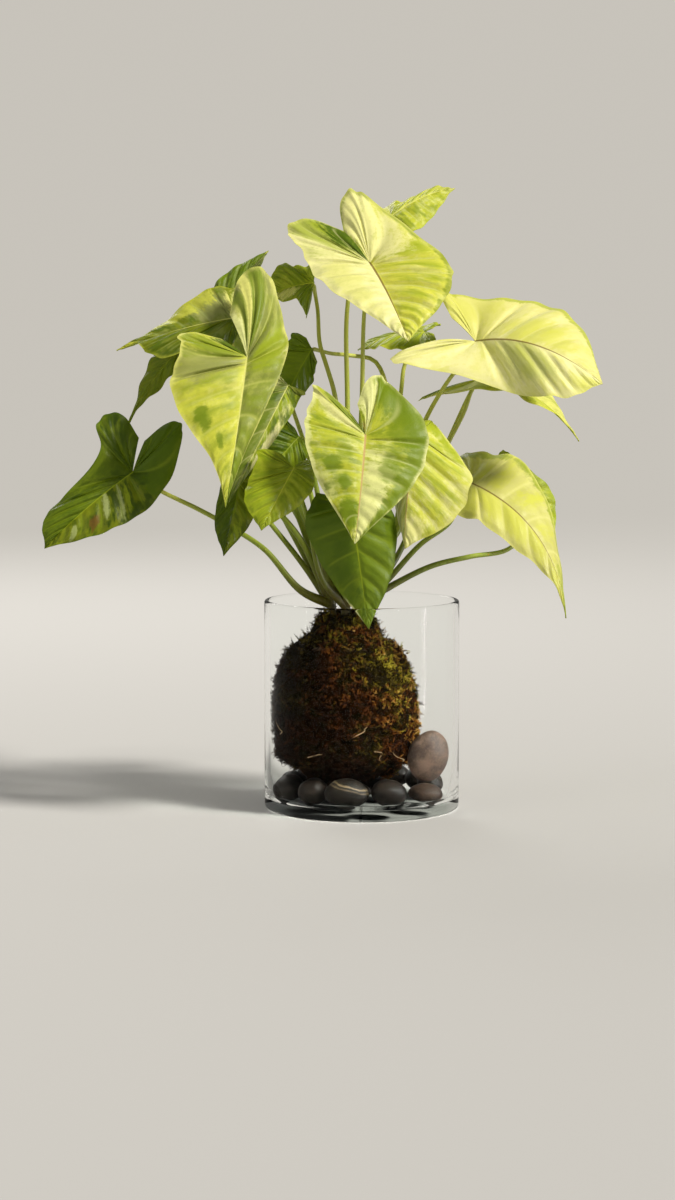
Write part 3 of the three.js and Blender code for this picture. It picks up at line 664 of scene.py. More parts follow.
LEAF_LOOKS = {
    "top": look(CREAM, SUNNY, CREAM, SPRING, BROWN, PALE, stripes=0.75, flecks=0.1, bright=0.4,
        folds=0.9,
        patches=[(-0.27, 0.5, 0.3, 0.8, CREAM, 0.55), (0.63, 0.5, 0.12, 0.9, CREAM, 0.8),
        (-0.33, 0.6, 0.12, 0.26, PALE, 0.6), (-0.64, 0.75, 0.06, 0.5, SPRING, 0.8),
        # The dark patch at the inner left lobe is partly the lobe's own dark green and partly
        # painted shade inside its curl.
        (-0.72, 0.6, 0.07, 0.7, DARK, 1.0), (0.42, 1.02, 0.28, 0.1, OLIVE, 0.8)]),
    "top_back": look(GRASS, LIME, WHITE, OLIVE, PALE, SPRING, stripes=0.9, flecks=0.3,
        patches=[(0.0, 0.4, 0.12, 0.9, PALE, 0.7)]),
    "right_high": look(CREAM, BUTTER, CREAM, LIME, BROWN, LIME, stripes=0.4, flecks=0.3,
        folds=0.25,
        patches=[(-0.33, 0.35, 0.09, 0.4, SPRING, 0.45), (0.3, 0.3, 0.12, 0.3, LIME, 0.6),
        (-0.12, 0.8, 0.1, 0.3, LIME, 0.6), (0.35, 1.0, 0.3, 0.08, SPRING, 0.7),
        (0.62, 0.6, 0.1, 0.5, LIME, 0.5)]),
    "right_under": look(LIME, PALE, PALE, SPRING, PALE, PALE, gloss=0.05,
        patches=[(-0.66, 0.6, 0.1, 0.7, MID, 0.9)]),
    "front": look(GRASS, GRASS, WHITE, MID, PINK, WHITE, stripes=0.6, flecks=0.5, margin=0.7,
        folds=0.6,
        patches=[(0.17, 0.3, 0.22, 0.42, WHITE, 0.85), (0.04, 0.5, 0.07, 0.6, WHITE, 0.8),
        (-0.16, 0.42, 0.055, 0.45, MID, 0.95), (-0.27, 0.4, 0.03, 0.15, MID, 0.9),
        (-0.33, 0.6, 0.03, 0.18, MID, 0.9), (-0.38, 0.35, 0.03, 0.15, OLIVE, 0.7),
        (-0.28, 0.99, 0.28, 0.08, WHITE, 0.8), (-0.56, 0.45, 0.03, 0.5, CREAM, 0.6),
        (-0.66, 0.45, 0.05, 0.45, MID, 0.8), (-0.74, 0.35, 0.025, 0.35, DARK, 0.8),
        (0.34, 0.92, 0.26, 0.26, MID, 0.9), (0.5, 0.75, 0.07, 0.4, MID, 0.8),
        (0.36, 0.5, 0.06, 0.18, MID, 0.7), (0.58, 0.8, 0.06, 0.25, MID, 0.8),
        (0.67, 0.6, 0.05, 0.8, WHITE, 0.9), (0.74, 0.2, 0.03, 0.2, BROWN, 0.6)]),
    "right_mid": look(PALE, LIME, CREAM, SPRING, PINK, PALE, stripes=0.8, flecks=0.2, bright=0.7,
        folds=0.3,
        patches=[(0.62, 0.8, 0.12, 0.3, SPRING, 0.8), (0.1, 0.4, 0.08, 0.9, CREAM, 0.6)]),
    "right_low": look(STRAW, STRAW, CREAM, LIME, BROWN, PALE, stripes=0.7, bright=0.3, folds=0.3,
        patches=[(0.55, 0.95, 0.16, 0.16, OLIVE, 0.7), (0.3, 1.0, 0.2, 0.1, SPRING, 0.7),
        (0.04, 0.5, 0.12, 1.1, SPRING, 0.8), (-0.04, 0.5, 0.08, 1.1, SPRING, 0.8),
        (-0.35, 0.3, 0.12, 0.4, LIME, 0.6), (-0.6, 0.5, 0.1, 0.6, LIME, 0.5)]),
    "right_rear": look(SPRING, SPRING, LIME, MID, PALE, SPRING),
    "left_broad": look(LIME, GREY, PALE, OLIVE, PALE, PALE, stripes=0.6, flecks=0.3, margin=0.6,
        folds=1.0,
        patches=[(-0.34, 0.72, 0.03, 0.14, MID, 0.9), (-0.27, 0.5, 0.02, 0.1, MID, 0.8),
        (-0.5, 0.5, 0.07, 0.5, GREY, 0.8), (-0.6, 0.5, 0.06, 0.6, OLIVE, 0.8),
        (-0.73, 0.5, 0.05, 0.6, DARK, 0.95), (0.28, 0.5, 0.25, 0.7, OLIVE, 0.5),
        (0.12, 0.5, 0.12, 0.9, MID, 0.6), (0.47, 0.5, 0.05, 0.6, SPRING, 0.8),
        (0.6, 0.6, 0.03, 0.6, MID, 0.8), (0.645, 0.6, 0.015, 0.7, PALE, 0.9),
        (0.68, 0.6, 0.012, 0.7, MID, 0.7), (0.72, 0.5, 0.02, 0.7, WHITE, 0.8)]),
    "left_high": look(MOSSY, MOSSY, SAGE, DARK, PALE, LIME, flecks=0.7, bright=0.3,
        patches=[(0.0, 0.5, 0.14, 1.2, LIME, 0.9), (-0.45, 0.4, 0.1, 0.4, GREY, 0.9),
        (-0.35, 0.8, 0.1, 0.3, LIME, 0.7), (-0.6, 0.4, 0.09, 0.5, PALE, 0.9)]),
    "left_upright": look(GREY, MID, SAGE, DARK, SPRING, MID, stripes=0.7,
        patches=[(0.0, 0.5, 0.06, 1.0, LIME, 0.8)]),
    "left_low": look(SHADE, MOSSY, OLIVE, DEEP, SPRING, DARK, stripes=0.8, flecks=0.8, veins=0.5,
        patches=[(-0.25, 0.5, 0.15, 0.7, MID, 0.4), (0.33, 0.35, 0.012, 0.3, SAGE, 0.9),
        (0.39, 0.5, 0.01, 0.4, SAGE, 0.8), (0.42, 0.5, 0.008, 0.4, SPRING, 0.8),
        (0.2, 0.6, 0.012, 0.3, SAGE, 0.7), (0.28, 0.6, 0.02, 0.2, BROWN, 0.8),
        (0.1, 0.9, 0.08, 0.15, SPRING, 0.7), (0.62, 0.5, 0.12, 0.8, DARK, 0.9)]),
    "left_hanging": look(MOSSY, MOSSY, OLIVE, DARK, SPRING, DARK),
    "centre_left": look(SPRING, SPRING, GRASS, MID, LIME, SPRING, stripes=0.7,
        patches=[(-0.2, 0.5, 0.15, 0.5, SPRING, 0.6)]),
    "low_left": look(SHADE, MOSSY, MID, DEEP, MID, DARK,
        patches=[(0.2, 0.6, 0.1, 0.3, SPRING, 0.6)]),
    "centre_dark": look(MID, MID, OLIVE, DARK, SPRING, DARK,
        patches=[(-0.4, 0.5, 0.12, 0.6, OLIVE, 0.6)]),
    "centre_striped": look(GREY, SPRING, CREAM, DARK, PALE, SPRING, stripes=0.8, flecks=0.7,
        patches=[(0.3, 0.7, 0.08, 0.3, CREAM, 0.9), (-0.3, 0.5, 0.2, 0.6, MID, 0.7)]),
    "low_front": look(MID, MID, OLIVE, DARK, SPRING, DARK, stripes=0.9, flecks=0.7, veins=0.6,
        bright=0.4,
        patches=[(0.35, 0.4, 0.2, 0.5, MID, 0.55), (-0.16, 0.97, 0.05, 0.1, CREAM, 0.9),
        (-0.4, 0.6, 0.2, 0.5, DARK, 0.7)]),
    "top_left": look(SPRING, OLIVE, GRASS, MID, LIME, GRASS, bright=0.9, flecks=0.6,
        patches=[(0.3, 0.5, 0.08, 0.4, PALE, 0.9)]),
    "centre_back": look(SPRING, SPRING, LIME, MID, PALE, LIME),
    "centre_small": look(DARK, MID, SPRING, DEEP, SPRING, DARK),
    "back_left": look(MID, SPRING, SAGE, DARK, PALE, MID),
    "back_low": look(DARK, MID, MID, DEEP, SPRING, DARK),
    "back_right": look(SPRING, MID, LIME, DARK, PALE, MID),
}

# %% Leaves
LIME_LEAVES = "top top_back right_high right_under right_mid right_low left_broad left_high"
GREEN_LEAVES = "front left_upright centre_left centre_striped right_rear left_low"
PHASE_STEP = 0.37  # turns by which the waves of one leaf are ahead of the last one's


def leaf_slot(name):
    """The record's slot for this leaf."""
    if name in LIME_LEAVES.split():
        return "leaf_lime"
    return "leaf_green" if name in GREEN_LEAVES.split() else "leaf_dark_green"


for number, (name, leaf) in enumerate(LEAVES.items()):
    shell, corner_uv, under = blade(leaf, PHASE_STEP * number)
    colors, strengths = LEAF_LOOKS[name]
    make_piece(
        name + "_leaf", shell, leaf_finish(name, *colors, **strengths), leaf_slot(name),
        ["leaf_" + name], corner_uv, {"under": under},
    )

# %% [markdown]
# ## Stalks
# Each leaf stands on its own stalk, and the stalks of one shoot spring from a short stem
# in the ball. A stalk is a round tube carried along a smooth path. Low down it widens
# into a sheath that clasps the stem, and just below the blade it swells again, where the
# leaf turns to the light. The tube's width is a function of the way along it, so both
# come from the same formula.

# %% Stems
CENTRE_X = -12.5
STEM_FOOT, STEM_TOP, STEM_RADIUS, STEM_SPACING = 126, 168, 3.8, 10.5
STEM_RINGS, STEM_SIDES = 40, 20
STEMS = {
    "left": (CENTRE_X - STEM_SPACING, 0),
    "front": (CENTRE_X, -STEM_SPACING),
    "right": (CENTRE_X + STEM_SPACING, 0),
    "back": (CENTRE_X, 0),
    "far": (CENTRE_X, STEM_SPACING),
}
STALK_FOOT, STALK_END = 2.5, 1.4  # the radius at either end
SHEATH, SHEATH_SHARE = 0.7, 0.16  # what it adds to the radius, and over which part of the way
KNEE, KNEE_BELOW, KNEE_LONG = 0.3, 6, 5  # the same, how far below the blade and how long
STALK_DEPTH = 10  # how far below the stem's top a stalk starts
STALK_STEPS, STALK_SIDES = 48, 14


def tube(path, radius, sides, flatten):
    """A closed tube round a path. Each ring lies across the path, with one axis on the
    normal of the plane that the path nearly lies in and the other across both. flatten:
    how much wider than deep each ring is."""
    middle = path - path.mean(axis=0)
    across = np.linalg.svd(middle, full_matrices=False)[2][-1]
    ahead = unit(np.gradient(path, axis=0))
    first = unit(across - (ahead @ across)[:, None] * ahead)
    second = np.cross(ahead, first)
    turn = round_angles(sides)
    wide = np.cos(turn)[:, None] * first[:, None] * (1 + flatten)[:, None, None]
    deep = np.sin(turn)[:, None] * second[:, None]
    rings = path[:, None] + radius[:, None, None] * (wide + deep)
    return loft(path[0], rings, path[-1])


def stalk_shell(leaf):
    """The stalk's path through its points at even steps, and its radius: a straight taper
    plus a sheath that fades within a sixth of the way and a swelling before the blade."""
    join, up, _ = blade_frame(leaf)
    x, y = STEMS[leaf["stem"]]
    guide = [(x, y, STEM_TOP - STALK_DEPTH), *leaf["stalk"], join - 8 * up, join - 0.2 * up]
    dense = spline(guide, np.linspace(0, 1, 400))
    length = np.concatenate([[0], np.cumsum(np.linalg.norm(np.diff(dense, axis=0), axis=1))])
    share = np.linspace(0, 1, STALK_STEPS)
    at = share * length[-1]
    path = np.stack([np.interp(at, length, dense[:, k]) for k in range(3)], axis=1)
    sheath = np.exp(-((share / SHEATH_SHARE) ** 2))
    knee = np.exp(-(((length[-1] - at - KNEE_BELOW) / KNEE_LONG) ** 2))
    radius = STALK_FOOT + (STALK_END - STALK_FOOT) * share + SHEATH * sheath + KNEE * knee
    radius = radius * np.clip((length[-1] - at) / 1.5 + 0.35, 0, 1)
    return tube(path, radius, STALK_SIDES, 0.25 * sheath)


def stem_shell(x, y):
    """The upright stem: a tube whose radius swells at each of three rings of old scars."""
    share = np.linspace(0, 1, STEM_RINGS)[:, None]
    z = STEM_FOOT + share * (STEM_TOP - STEM_FOOT)
    radius = STEM_RADIUS * (1 - 0.2 * share) + 0.25 * np.cos(2 * np.pi * 3.5 * share) ** 8
    return loft([x, y, STEM_FOOT], circles(radius, z, STEM_SIDES, x, y), [x, y, STEM_TOP])


def stalk_finish():
    """Dark and brownish in the crown, a painted shade where the stems shade each other, greener
    with the height and the distance from the axis, yellow green under the leaves, with fine
    lengthwise streaks."""
    material, wire, sockets = new_finish(
        "stalk_green", Subsurface_Weight=0.1, Subsurface_Scale=0.001, Specular_IOR_Level=0.25
    )
    x, y, z = wire.place().axes()
    mottle = wire.vector(x, y, z * 0.12).noise(420.0, 3.0, 0.6)
    outward = (x - CENTRE_X * METRES).math("ABSOLUTE")
    # Painted shade: the ramp below is darkest low in the crown and near the axis, where the stems
    # shade each other, and lightens with height and distance from the axis.
    height = z + outward * 0.7 + (mottle - 0.5) * 0.05
    color = height.node("MapRange", {}, {"Value": height, "From Min": 0.14, "From Max": 0.34})
    color = color.ramp(
        (0.0, "3c2c0c"), (0.15, "524c12"), (0.40, "727c24"), (0.65, "98a83c"), (1.0, "b4b850")
    )
    color = (mottle.step(0.55, 0.75) * 0.25).blend(color, paint("8a9a3c"))
    connect(color, sockets["Base Color"])
    connect(mottle * 0.3 + 0.3, sockets["Roughness"])
    connect_bump(mottle, 0.3, 0.0004, sockets)
    return material


stalk_green = stalk_finish()
for name, (x, y) in STEMS.items():
    stalks = [stalk_shell(leaf) for leaf in LEAVES.values() if leaf["stem"] == name]
    shell = merged([stem_shell(x, y), *stalks])
    make_piece(name + "_stem_and_stalks", shell, stalk_green, "stalk", ["stem_" + name])

# %% [markdown]
# ## The moss ball
# Sheet moss is a mat of tiny branching shoots, some alive and olive, some dried to rust. A
# bump on a ball would look flat at the outline, so the mat is built: a dark lumpy skin,
# and on it thousands of shoots. Each shoot is a bent stalk with a row of leaflets on both
# sides, like a small feather, and shorter stars of leaflets fill the gaps. They are plain
# meshes of a few triangles each, scattered over the skin by the area of its triangles.
# The crests catch the light and the hollows lie in shade, and that light and shade is painted
# into the shoots: the height of the lumps also sets their tone.

# %% Moss skin
BALL_FOOT, BALL_TOP, BALL_REACH, MOSS_THICK = 23.4, 143, 69, 6
BALL_PROFILE = [  # radius, and the share of the height
    (22, 0), (45, 0.1), (56, 0.28), (56.5, 0.46), (53, 0.66), (45, 0.82), (29, 0.93), (22, 1),
]
BALL_SIDES, BALL_RINGS, INNER_RINGS = 150, 90, 12
LUMPS = ((1.0, 19, 1), (1.0, 10, 2), (0.5, 5, 3))  # size, wavelength and seed of each kind
FUZZ = 1.8  # how far the skin lies inside the ball's outline, which the shoots fill
COLLAR = 8  # how far the moss climbs round the stems
COLLAR_REACH, COLLAR_WIDE = 34, 18  # how far from the axis it begins, and over which width
COLLAR_ABOVE = 110  # only points above this height are lifted: the foot is near the axis too
THIN_MOSS = 1.2  # the least thickness of the mat, in the deepest hollows
COLLAR_DRAW = 3  # how many times as closely the shoots stand on the collar


def ball_rings(shares, inset, lumpy, sides=BALL_SIDES):
    """Rings round the ball's axis. The radius is the profile less the inset, times 1 plus
    two waves of the angle and the height, and the glass cuts the far left short."""
    profile = spline(BALL_PROFILE, shares)
    level = profile[:, 1:]
    angle = round_angles(sides)
    broad = 0.03 * np.sin(3 * angle + 5 * level + 1.2)
    small = 0.025 * np.sin(7 * angle - 9 * level) * np.sin(12 * level + 0.6)
    radius = (profile[:, :1] - inset) * (1 + (broad + small) * lumpy)
    z = BALL_FOOT + inset + level * (BALL_TOP - BALL_FOOT - inset)
    rings = circles(radius, z, sides, CENTRE_X)
    rings[..., 0] = np.maximum(rings[..., 0], -BALL_REACH)
    return rings


def lumps(points):
    """The height of the moss at each point, in millimetres: three sizes of soft lumps."""
    return sum(size * ripples(points, wave, seed) for size, wave, seed in LUMPS)


def moss_skin():
    """The jacket: outer rings from the foot up, then inner rings back down. The outside is
    pushed along its normals by the lumps, but never within THIN_MOSS of the inner wall,
    which is left smooth."""
    levels = np.linspace(0, 1, BALL_RINGS)
    outer = ball_rings(levels, 0, 1)
    wavy, plain = (
        np.linalg.norm(rings[..., :2] - [CENTRE_X, 0], axis=-1)
        for rings in (outer, ball_rings(levels, 0, 0))
    )
    lowest = np.concatenate([[0], (THIN_MOSS - MOSS_THICK - (wavy - plain)).ravel()])
    inner = ball_rings(np.linspace(1, 0, INNER_RINGS), MOSS_THICK, 0)
    foot = np.array([CENTRE_X, 0, BALL_FOOT])
    points, triangles = loft(foot, np.vstack([outer, inner]), foot + [0, 0, MOSS_THICK])
    outside = slice(1 + BALL_RINGS * BALL_SIDES)
    push = np.maximum(lumps(points[outside]) - FUZZ, lowest)
    points[outside] += normals_of(points, triangles)[outside] * push[:, None]
    reach = np.linalg.norm(points[:, :2] - [CENTRE_X, 0], axis=1)
    near = np.clip((COLLAR_REACH - reach) / COLLAR_WIDE, 0, 1)
    collar = near**2 * (points[:, 2] > COLLAR_ABOVE)
    points[:, 2] += COLLAR * collar
    return points, triangles


def moss_paint(sockets, place, tone):
    """The moss's colours: near black at the lowest tone, painted shade in the depths, then rust
    or olive, up to straw or yellow green as the tone rises. Above and on the right it is
    lighter, a painted light on the side the sun falls on, and greener. Broad noise makes
    patches greener or browner, and a finer one mixes in the other kind."""
    x, _, z = place.axes()
    patch = place.noise(30.0, 3.0, 0.6) + (z - 0.100) + x * 0.5
    mixed = (patch + (place.noise(210.0, 2.0, 0.6) - 0.5) * 0.7).step(0.42, 0.60)
    # Painted light and shade: the tone rises towards the top and the right, where the sun falls,
    # and sinks on the lower left.
    tone = tone * ((z * 0.6 + x * 1.2).step(0.0, 0.11) * 0.8 + 0.57)
    dry, fresh = (
        tone.ramp(*zip((0.0, 0.35, 0.65, 0.85, 1.0), codes.split()))
        for codes in ("070300 2a1302 6c3a0a a87230 d2a65c", "050400 1f1802 564a08 908218 bab03a")
    )
    connect(mixed.blend(dry, fresh), sockets["Base Color"])


def moss_skin_finish():
    """The dark mat between the shoots."""
    material, wire, sockets = new_finish("moss_mat", Roughness=0.95, Specular_IOR_Level=0.03)
    place = wire.place()
    fine = place.noise(260.0, 6.0, 0.75)
    moss_paint(sockets, place, fine.step(0.35, 0.8) * 0.55)
    connect_bump(fine, 1.0, 0.002, sockets)
    return material


skin = moss_skin()
make_piece("moss_jacket", skin, moss_skin_finish(), "moss", ["moss_wrap"], crease=180)

# %% Moss shoots
GLASS_REACH = 70.6  # how far from the vase's axis a shoot may stand before the glass bends it
FEATHERS, STARS = 2700, 3800  # how many of them there are in a piece
FEATHER_REACH, LEAFLET_REACH, STAR_REACH = (3.5, 7.5), (1.1, 2.0), (1.2, 3.2)  # least, most
FEATHER_THICK, LEAFLET_THICK, STAR_THICK = 0.2, 0.17, 0.26  # a leaflet's as a part of its reach
# Painted light and shade: the second number lightens the shoots on the crests of the lumps and
# darkens those in the hollows.
MEAN_TONE, LUMP_SHADING, TONE_SPREAD = 0.54, 0.2, 0.22


def scatter(points, triangles, count, rng):
    """Random points on a mesh, with the way each faces: a triangle is drawn by its area,
    more often on the collar, and two random numbers place the point in it."""
    a, b, c = (points[triangles[:, k]] for k in range(3))
    across = np.cross(b - a, c - a)
    area = np.linalg.norm(across, axis=1) * np.where(a[:, 2] > BALL_TOP, COLLAR_DRAW, 1)
    chosen = rng.choice(len(triangles), count, p=area / area.sum())
    s, t = rng.random((2, count, 1))
    s, t = np.where(s + t > 1, 1 - s, s), np.where(s + t > 1, 1 - t, t)
    spots = a[chosen] * (1 - s - t) + b[chosen] * s + c[chosen] * t
    return spots, unit(across[chosen])


def spindles(roots, reaches, bends, thicks, stations):
    """Closed slivers: a point at the root, a ring of three at each station and a point at
    the tip. A place on the sliver is root + share reach + share squared bend. Returns the
    shell and the shares of one sliver's points."""
    side = unit(np.cross(reaches, [0.31, 0.52, 0.79]))
    over = np.cross(unit(reaches), side)
    turn = round_angles(3)[:, None]
    ring = (np.cos(turn) * side[:, None] + np.sin(turn) * over[:, None]) * thicks[:, None]
    parts = [roots[:, None]]
    for share in stations:
        parts.append((roots + share * reaches + share**2 * bends)[:, None] + ring)
    parts.append((roots + reaches + bends)[:, None])
    points = np.concatenate(parts, axis=1)
    tip = points.shape[1] - 1
    one = []
    for i, j in ((0, 1), (1, 2), (2, 0)):
        one += [(0, 1 + j, 1 + i), (tip, tip - 3 + i, tip - 3 + j)]
        for first in range(1, tip - 3, 3):
            a, b = first + i, first + j
            one += [(a, b, b + 3), (a, b + 3, a + 3)]
    triangles = np.arange(len(roots))[:, None, None] * (tip + 1) + np.array(one)
    shares = np.concatenate([[0], np.repeat(stations, 3), [1]])
    return (points.reshape(-1, 3), triangles.reshape(-1, 3)), shares


def lying(facing, rng, lift):
    """Random directions along the skin, raised from it by up to lift."""
    loose = rng.normal(size=facing.shape)
    flat = unit(loose - (loose * facing).sum(axis=1, keepdims=True) * facing)
    return unit(flat + facing * rng.uniform(0.1, lift, (len(facing), 1)))


def moss_spots(count, rng):
    """Places for shoots on the outside of the skin and on its upper brim, the way each
    faces and its tone: the higher the lump it stands on, the lighter, as painted light on the
    crests and painted shade in the hollows."""
    outer = skin[1][(skin[1] < 1 + (BALL_RINGS + 1) * BALL_SIDES).all(axis=1)]
    spots, facing = scatter(skin[0], outer, count, rng)
    # Painted light on the crests of the lumps and painted shade in their hollows.
    tone = MEAN_TONE + LUMP_SHADING * lumps(spots)
    tone = tone + rng.uniform(-TONE_SPREAD, TONE_SPREAD, count)
    return spots, facing, np.clip(tone, 0.05, 1)


def feathers(count, seed, pairs=5):
    """Shoots with leaflets: each stalk leans out and bends back to the skin, and its
    leaflets leave it on both sides, shorter towards the tip."""
    rng = np.random.default_rng(seed)
    spots, facing, tone = moss_spots(count, rng)
    reach = lying(facing, rng, 1.3) * rng.uniform(*FEATHER_REACH, (count, 1))
    bend = rng.normal(size=(count, 3)) * 1.3 - facing * rng.uniform(0.5, 2.5, (count, 1))
    thick = np.full((count, 1), FEATHER_THICK)
    stalk, stalk_share = spindles(spots - facing * 0.4, reach, bend, thick, (0.3, 0.7))
    side = unit(np.cross(reach, facing))
    shells, tones = [stalk], [tone[:, None] * (0.3 + 0.6 * stalk_share)]
    for k in range(2 * pairs):
        share = 0.2 + 0.8 * (k + 0.5) / (2 * pairs)
        root = spots + share * reach + share**2 * bend
        ahead = unit(reach + 2 * share * bend)
        way = unit(ahead + side * (1 if k % 2 else -1) + rng.normal(size=(count, 3)) * 0.35)
        length = rng.uniform(*LEAFLET_REACH, (count, 1)) * (1.25 - 0.6 * share)
        thick = LEAFLET_THICK * length
        leaflet, leaflet_share = spindles(root, way * length, facing * 0.3, thick, (0.45,))
        shells.append(leaflet)
        tones.append(tone[:, None] * (0.45 + 0.3 * share + 0.3 * leaflet_share))
    return merged(shells), np.concatenate([part.ravel() for part in tones])


def stars(count, seed, leaflets=7):
    """Small tufts between the shoots: leaflets that spread from one spot."""
    rng = np.random.default_rng(seed)
    spots, facing, tone = (np.repeat(part, leaflets, axis=0) for part in moss_spots(count, rng))
    total = count * leaflets
    reach = lying(facing, rng, 1.5) * rng.uniform(*STAR_REACH, (total, 1))
    bend = rng.normal(size=(total, 3)) * 0.3 - facing * 0.3
    thick = np.full((total, 1), STAR_THICK)
    shell, share = spindles(spots - facing * 0.3, reach, bend, thick, (0.5,))
    tone = tone * rng.uniform(0.7, 1.1, total)
    return shell, (tone[:, None] * (0.3 + 0.7 * share)).ravel()


def moss_shoot_finish():
    """Each shoot in its own tone, darker at the root."""
    material, wire, sockets = new_finish("moss_shoots", Roughness=0.75, Specular_IOR_Level=0.05)
    moss_paint(sockets, wire.place(), wire.mark("tone"))
    return material


moss_live = moss_shoot_finish()
for name, (shell, tone) in {
    "moss_shoots_low": feathers(FEATHERS, 11),
    "moss_shoots_high": feathers(FEATHERS, 12),
    "moss_stars": stars(STARS, 13),
}.items():
    far = np.linalg.norm(shell[0][:, :2], axis=1)
    shell[0][:, :2] *= np.minimum(1, GLASS_REACH / far)[:, None]
    make_piece(name, shell, moss_live, "moss", marks={"tone": tone}, crease=180)

# %% [markdown]
# ## Soil and rootlets
# Inside the jacket is a ball of dark soil. Only its crumbly top shows in the collar,
# between the stems. A few thin roots have found their way out through the moss.

# %% Soil
SEAT = 0.3  # how far apart pieces that touch are drawn
SOIL_RINGS, SOIL_SIDES, DISC_RINGS = 40, 72, 9


def soil_finish():
    """Damp soil: dark crumbs with a few paler bits of bark."""
    material, wire, sockets = new_finish("damp_soil", Roughness=0.9, Specular_IOR_Level=0.3)
    crumb = wire.place().noise(400.0, 4.0, 0.7)
    color = crumb.ramp((0.3, "1a1008"), (0.55, "382614"), (0.72, "5a4024"), (0.85, "7d6346"))
    connect(color, sockets["Base Color"])
    connect_bump(crumb, 0.8, 0.0015, sockets)
    return material


rings = ball_rings(np.linspace(0, 1, SOIL_RINGS), MOSS_THICK + SEAT, 0, SOIL_SIDES)
crown = np.array([CENTRE_X, 0, BALL_TOP])
disc = crown + (rings[-1] - crown) * np.linspace(0.9, 0.1, DISC_RINGS)[:, None, None]
soil = loft([CENTRE_X, 0, BALL_FOOT + MOSS_THICK + SEAT], np.vstack([rings, disc]), crown)
crumbs = 0.5 * ripples(soil[0], 4.0, 21) + 0.3 * ripples(soil[0], 2.0, 22)
soil[0][:, 2] += np.where(soil[0][:, 2] > BALL_TOP - 1, crumbs + 0.8, 0)
make_piece("soil", soil, soil_finish(), "soil", ["soil_ball"], crease=180)

# %% Rootlets
ROOTLETS = [  # (angle round the ball in degrees, height, length, turn)
    (-84, 62, 17, 0.6), (-66, 52, 13, -0.8), (-38, 40, 12, 2.2), (-120, 46, 15, 0.3),
    (35, 70, 16, 1.2), (100, 58, 18, -0.5), (160, 80, 14, 0.9), (-150, 60, 12, 1.8),
]
ROOTLET_RADIUS, MEAN_REACH = 0.38, 56  # its own, and about that of the ball
ROOTLET_LIFT = 0.9  # how far its middle stands off the skin
ROOTLET_STEPS, ROOTLET_SIDES = 30, 6


def rootlet(angle, height, length, turn):
    """A thin root that lies on the moss: a short curve in the angle and the height, whose
    distance from the axis is that of the nearest skin, evened out, plus a little."""
    share = np.linspace(0, 1, ROOTLET_STEPS)
    bend = np.radians(angle) + length / MEAN_REACH * share * math.cos(turn)
    bend = bend + 0.06 * np.sin(5 * share)
    z = height + length * share * math.sin(turn) + 1.5 * np.sin(4 * share + turn)
    ways = np.stack([np.cos(bend), np.sin(bend)], axis=1)
    guess = np.column_stack([MEAN_REACH * ways, z])
    outer = skin[0][1 : 1 + BALL_RINGS * BALL_SIDES] - [CENTRE_X, 0, 0]
    near = np.linalg.norm(guess[:, None] - outer, axis=2).argmin(axis=1)
    reach = np.linalg.norm(outer[near, :2], axis=1)
    reach = np.convolve(np.pad(reach, 4, mode="edge"), np.full(9, 1 / 9), "valid") + ROOTLET_LIFT
    path = np.column_stack([CENTRE_X + reach * ways[:, 0], reach * ways[:, 1], z])
    return tube(path, ROOTLET_RADIUS * (1 - 0.6 * share), ROOTLET_SIDES, 0 * share)


root_pale, _, _ = new_finish(
    "root_pale", Base_Color=paint("a88c66"), Roughness=0.7, Specular_IOR_Level=0.3
)
make_piece("rootlets", merged([rootlet(*row) for row in ROOTLETS]), root_pale, "moss")

# %% [markdown]
# ## River pebbles
# River stones are flattened balls without edges. Each starts as a unit sphere, swells by a
# soft wave so that no two are alike, and is scaled along its own axes and turned, by the
# same numbers as the solids. The finish is a matt dark grey with fine grain. One stone
# carries a pale band, a vein of another rock.

# %% Pebbles
PEBBLES = {  # middle, half sizes, turns in degrees about X, Y and Z
    "leaning": ((49.8, -25.3, 44), (16.8, 9, 20), (0, 10, 26)),
    "banded": ((-12, -53, 19.3), (17, 12, 10.5), (28, 6, 3)),
    "front_round": ((20, -48, 18.9), (13.5, 12, 10.4), (0, 6, 20)),
    "right_front": ((48, -28, 15.8), (11, 13, 7.4), (0, 0, 60)),
    "left_front": ((-37, -40, 18.9), (11, 12, 10), (0, 0, -30)),
    "left_broad": ((-55, -19, 18.5), (11, 14, 10), (8, 0, -18)),
    "under_left": ((-29, 4, 15.8), (12, 12, 7), (0, 0, 20)),
    "under_right": ((10, 6, 15.8), (15, 12, 7), (0, 0, -35)),
    "under_front": ((-8, -22, 15.8), (15, 11, 7), (0, 0, 10)),
    "under_back": ((-12, 27, 15.8), (14, 10, 7), (0, 0, 15)),
}
PEBBLE_RINGS, PEBBLE_SIDES = 34, 52
VASE_FLOOR = 8
BACK_RING, BACK_HALF = 53, 9  # where the seven stones behind the ball stand, and half their height
for i in range(7):
    angle = math.radians(4 + 166 * i / 6)
    height = VASE_FLOOR + SEAT + BACK_HALF * 1.07
    spot = (BACK_RING * math.cos(angle), BACK_RING * math.sin(angle), height)
    swell = 1 + 0.08 * math.sin(2.4 * i)
    PEBBLES[f"back_{i + 1}"] = (spot, (10.5 * swell, 12, BACK_HALF), (0, 0, math.degrees(angle)))


def turned(points, degrees):
    """Points turned about Z, then Y, then X, by angles in degrees."""
    for axis in (2, 1, 0):
        a, b = (axis + 1) % 3, (axis + 2) % 3
        cos, sin = math.cos(math.radians(degrees[axis])), math.sin(math.radians(degrees[axis]))
        moved = points.copy()
        moved[:, a] = cos * points[:, a] - sin * points[:, b]
        moved[:, b] = sin * points[:, a] + cos * points[:, b]
        points = moved
    return points


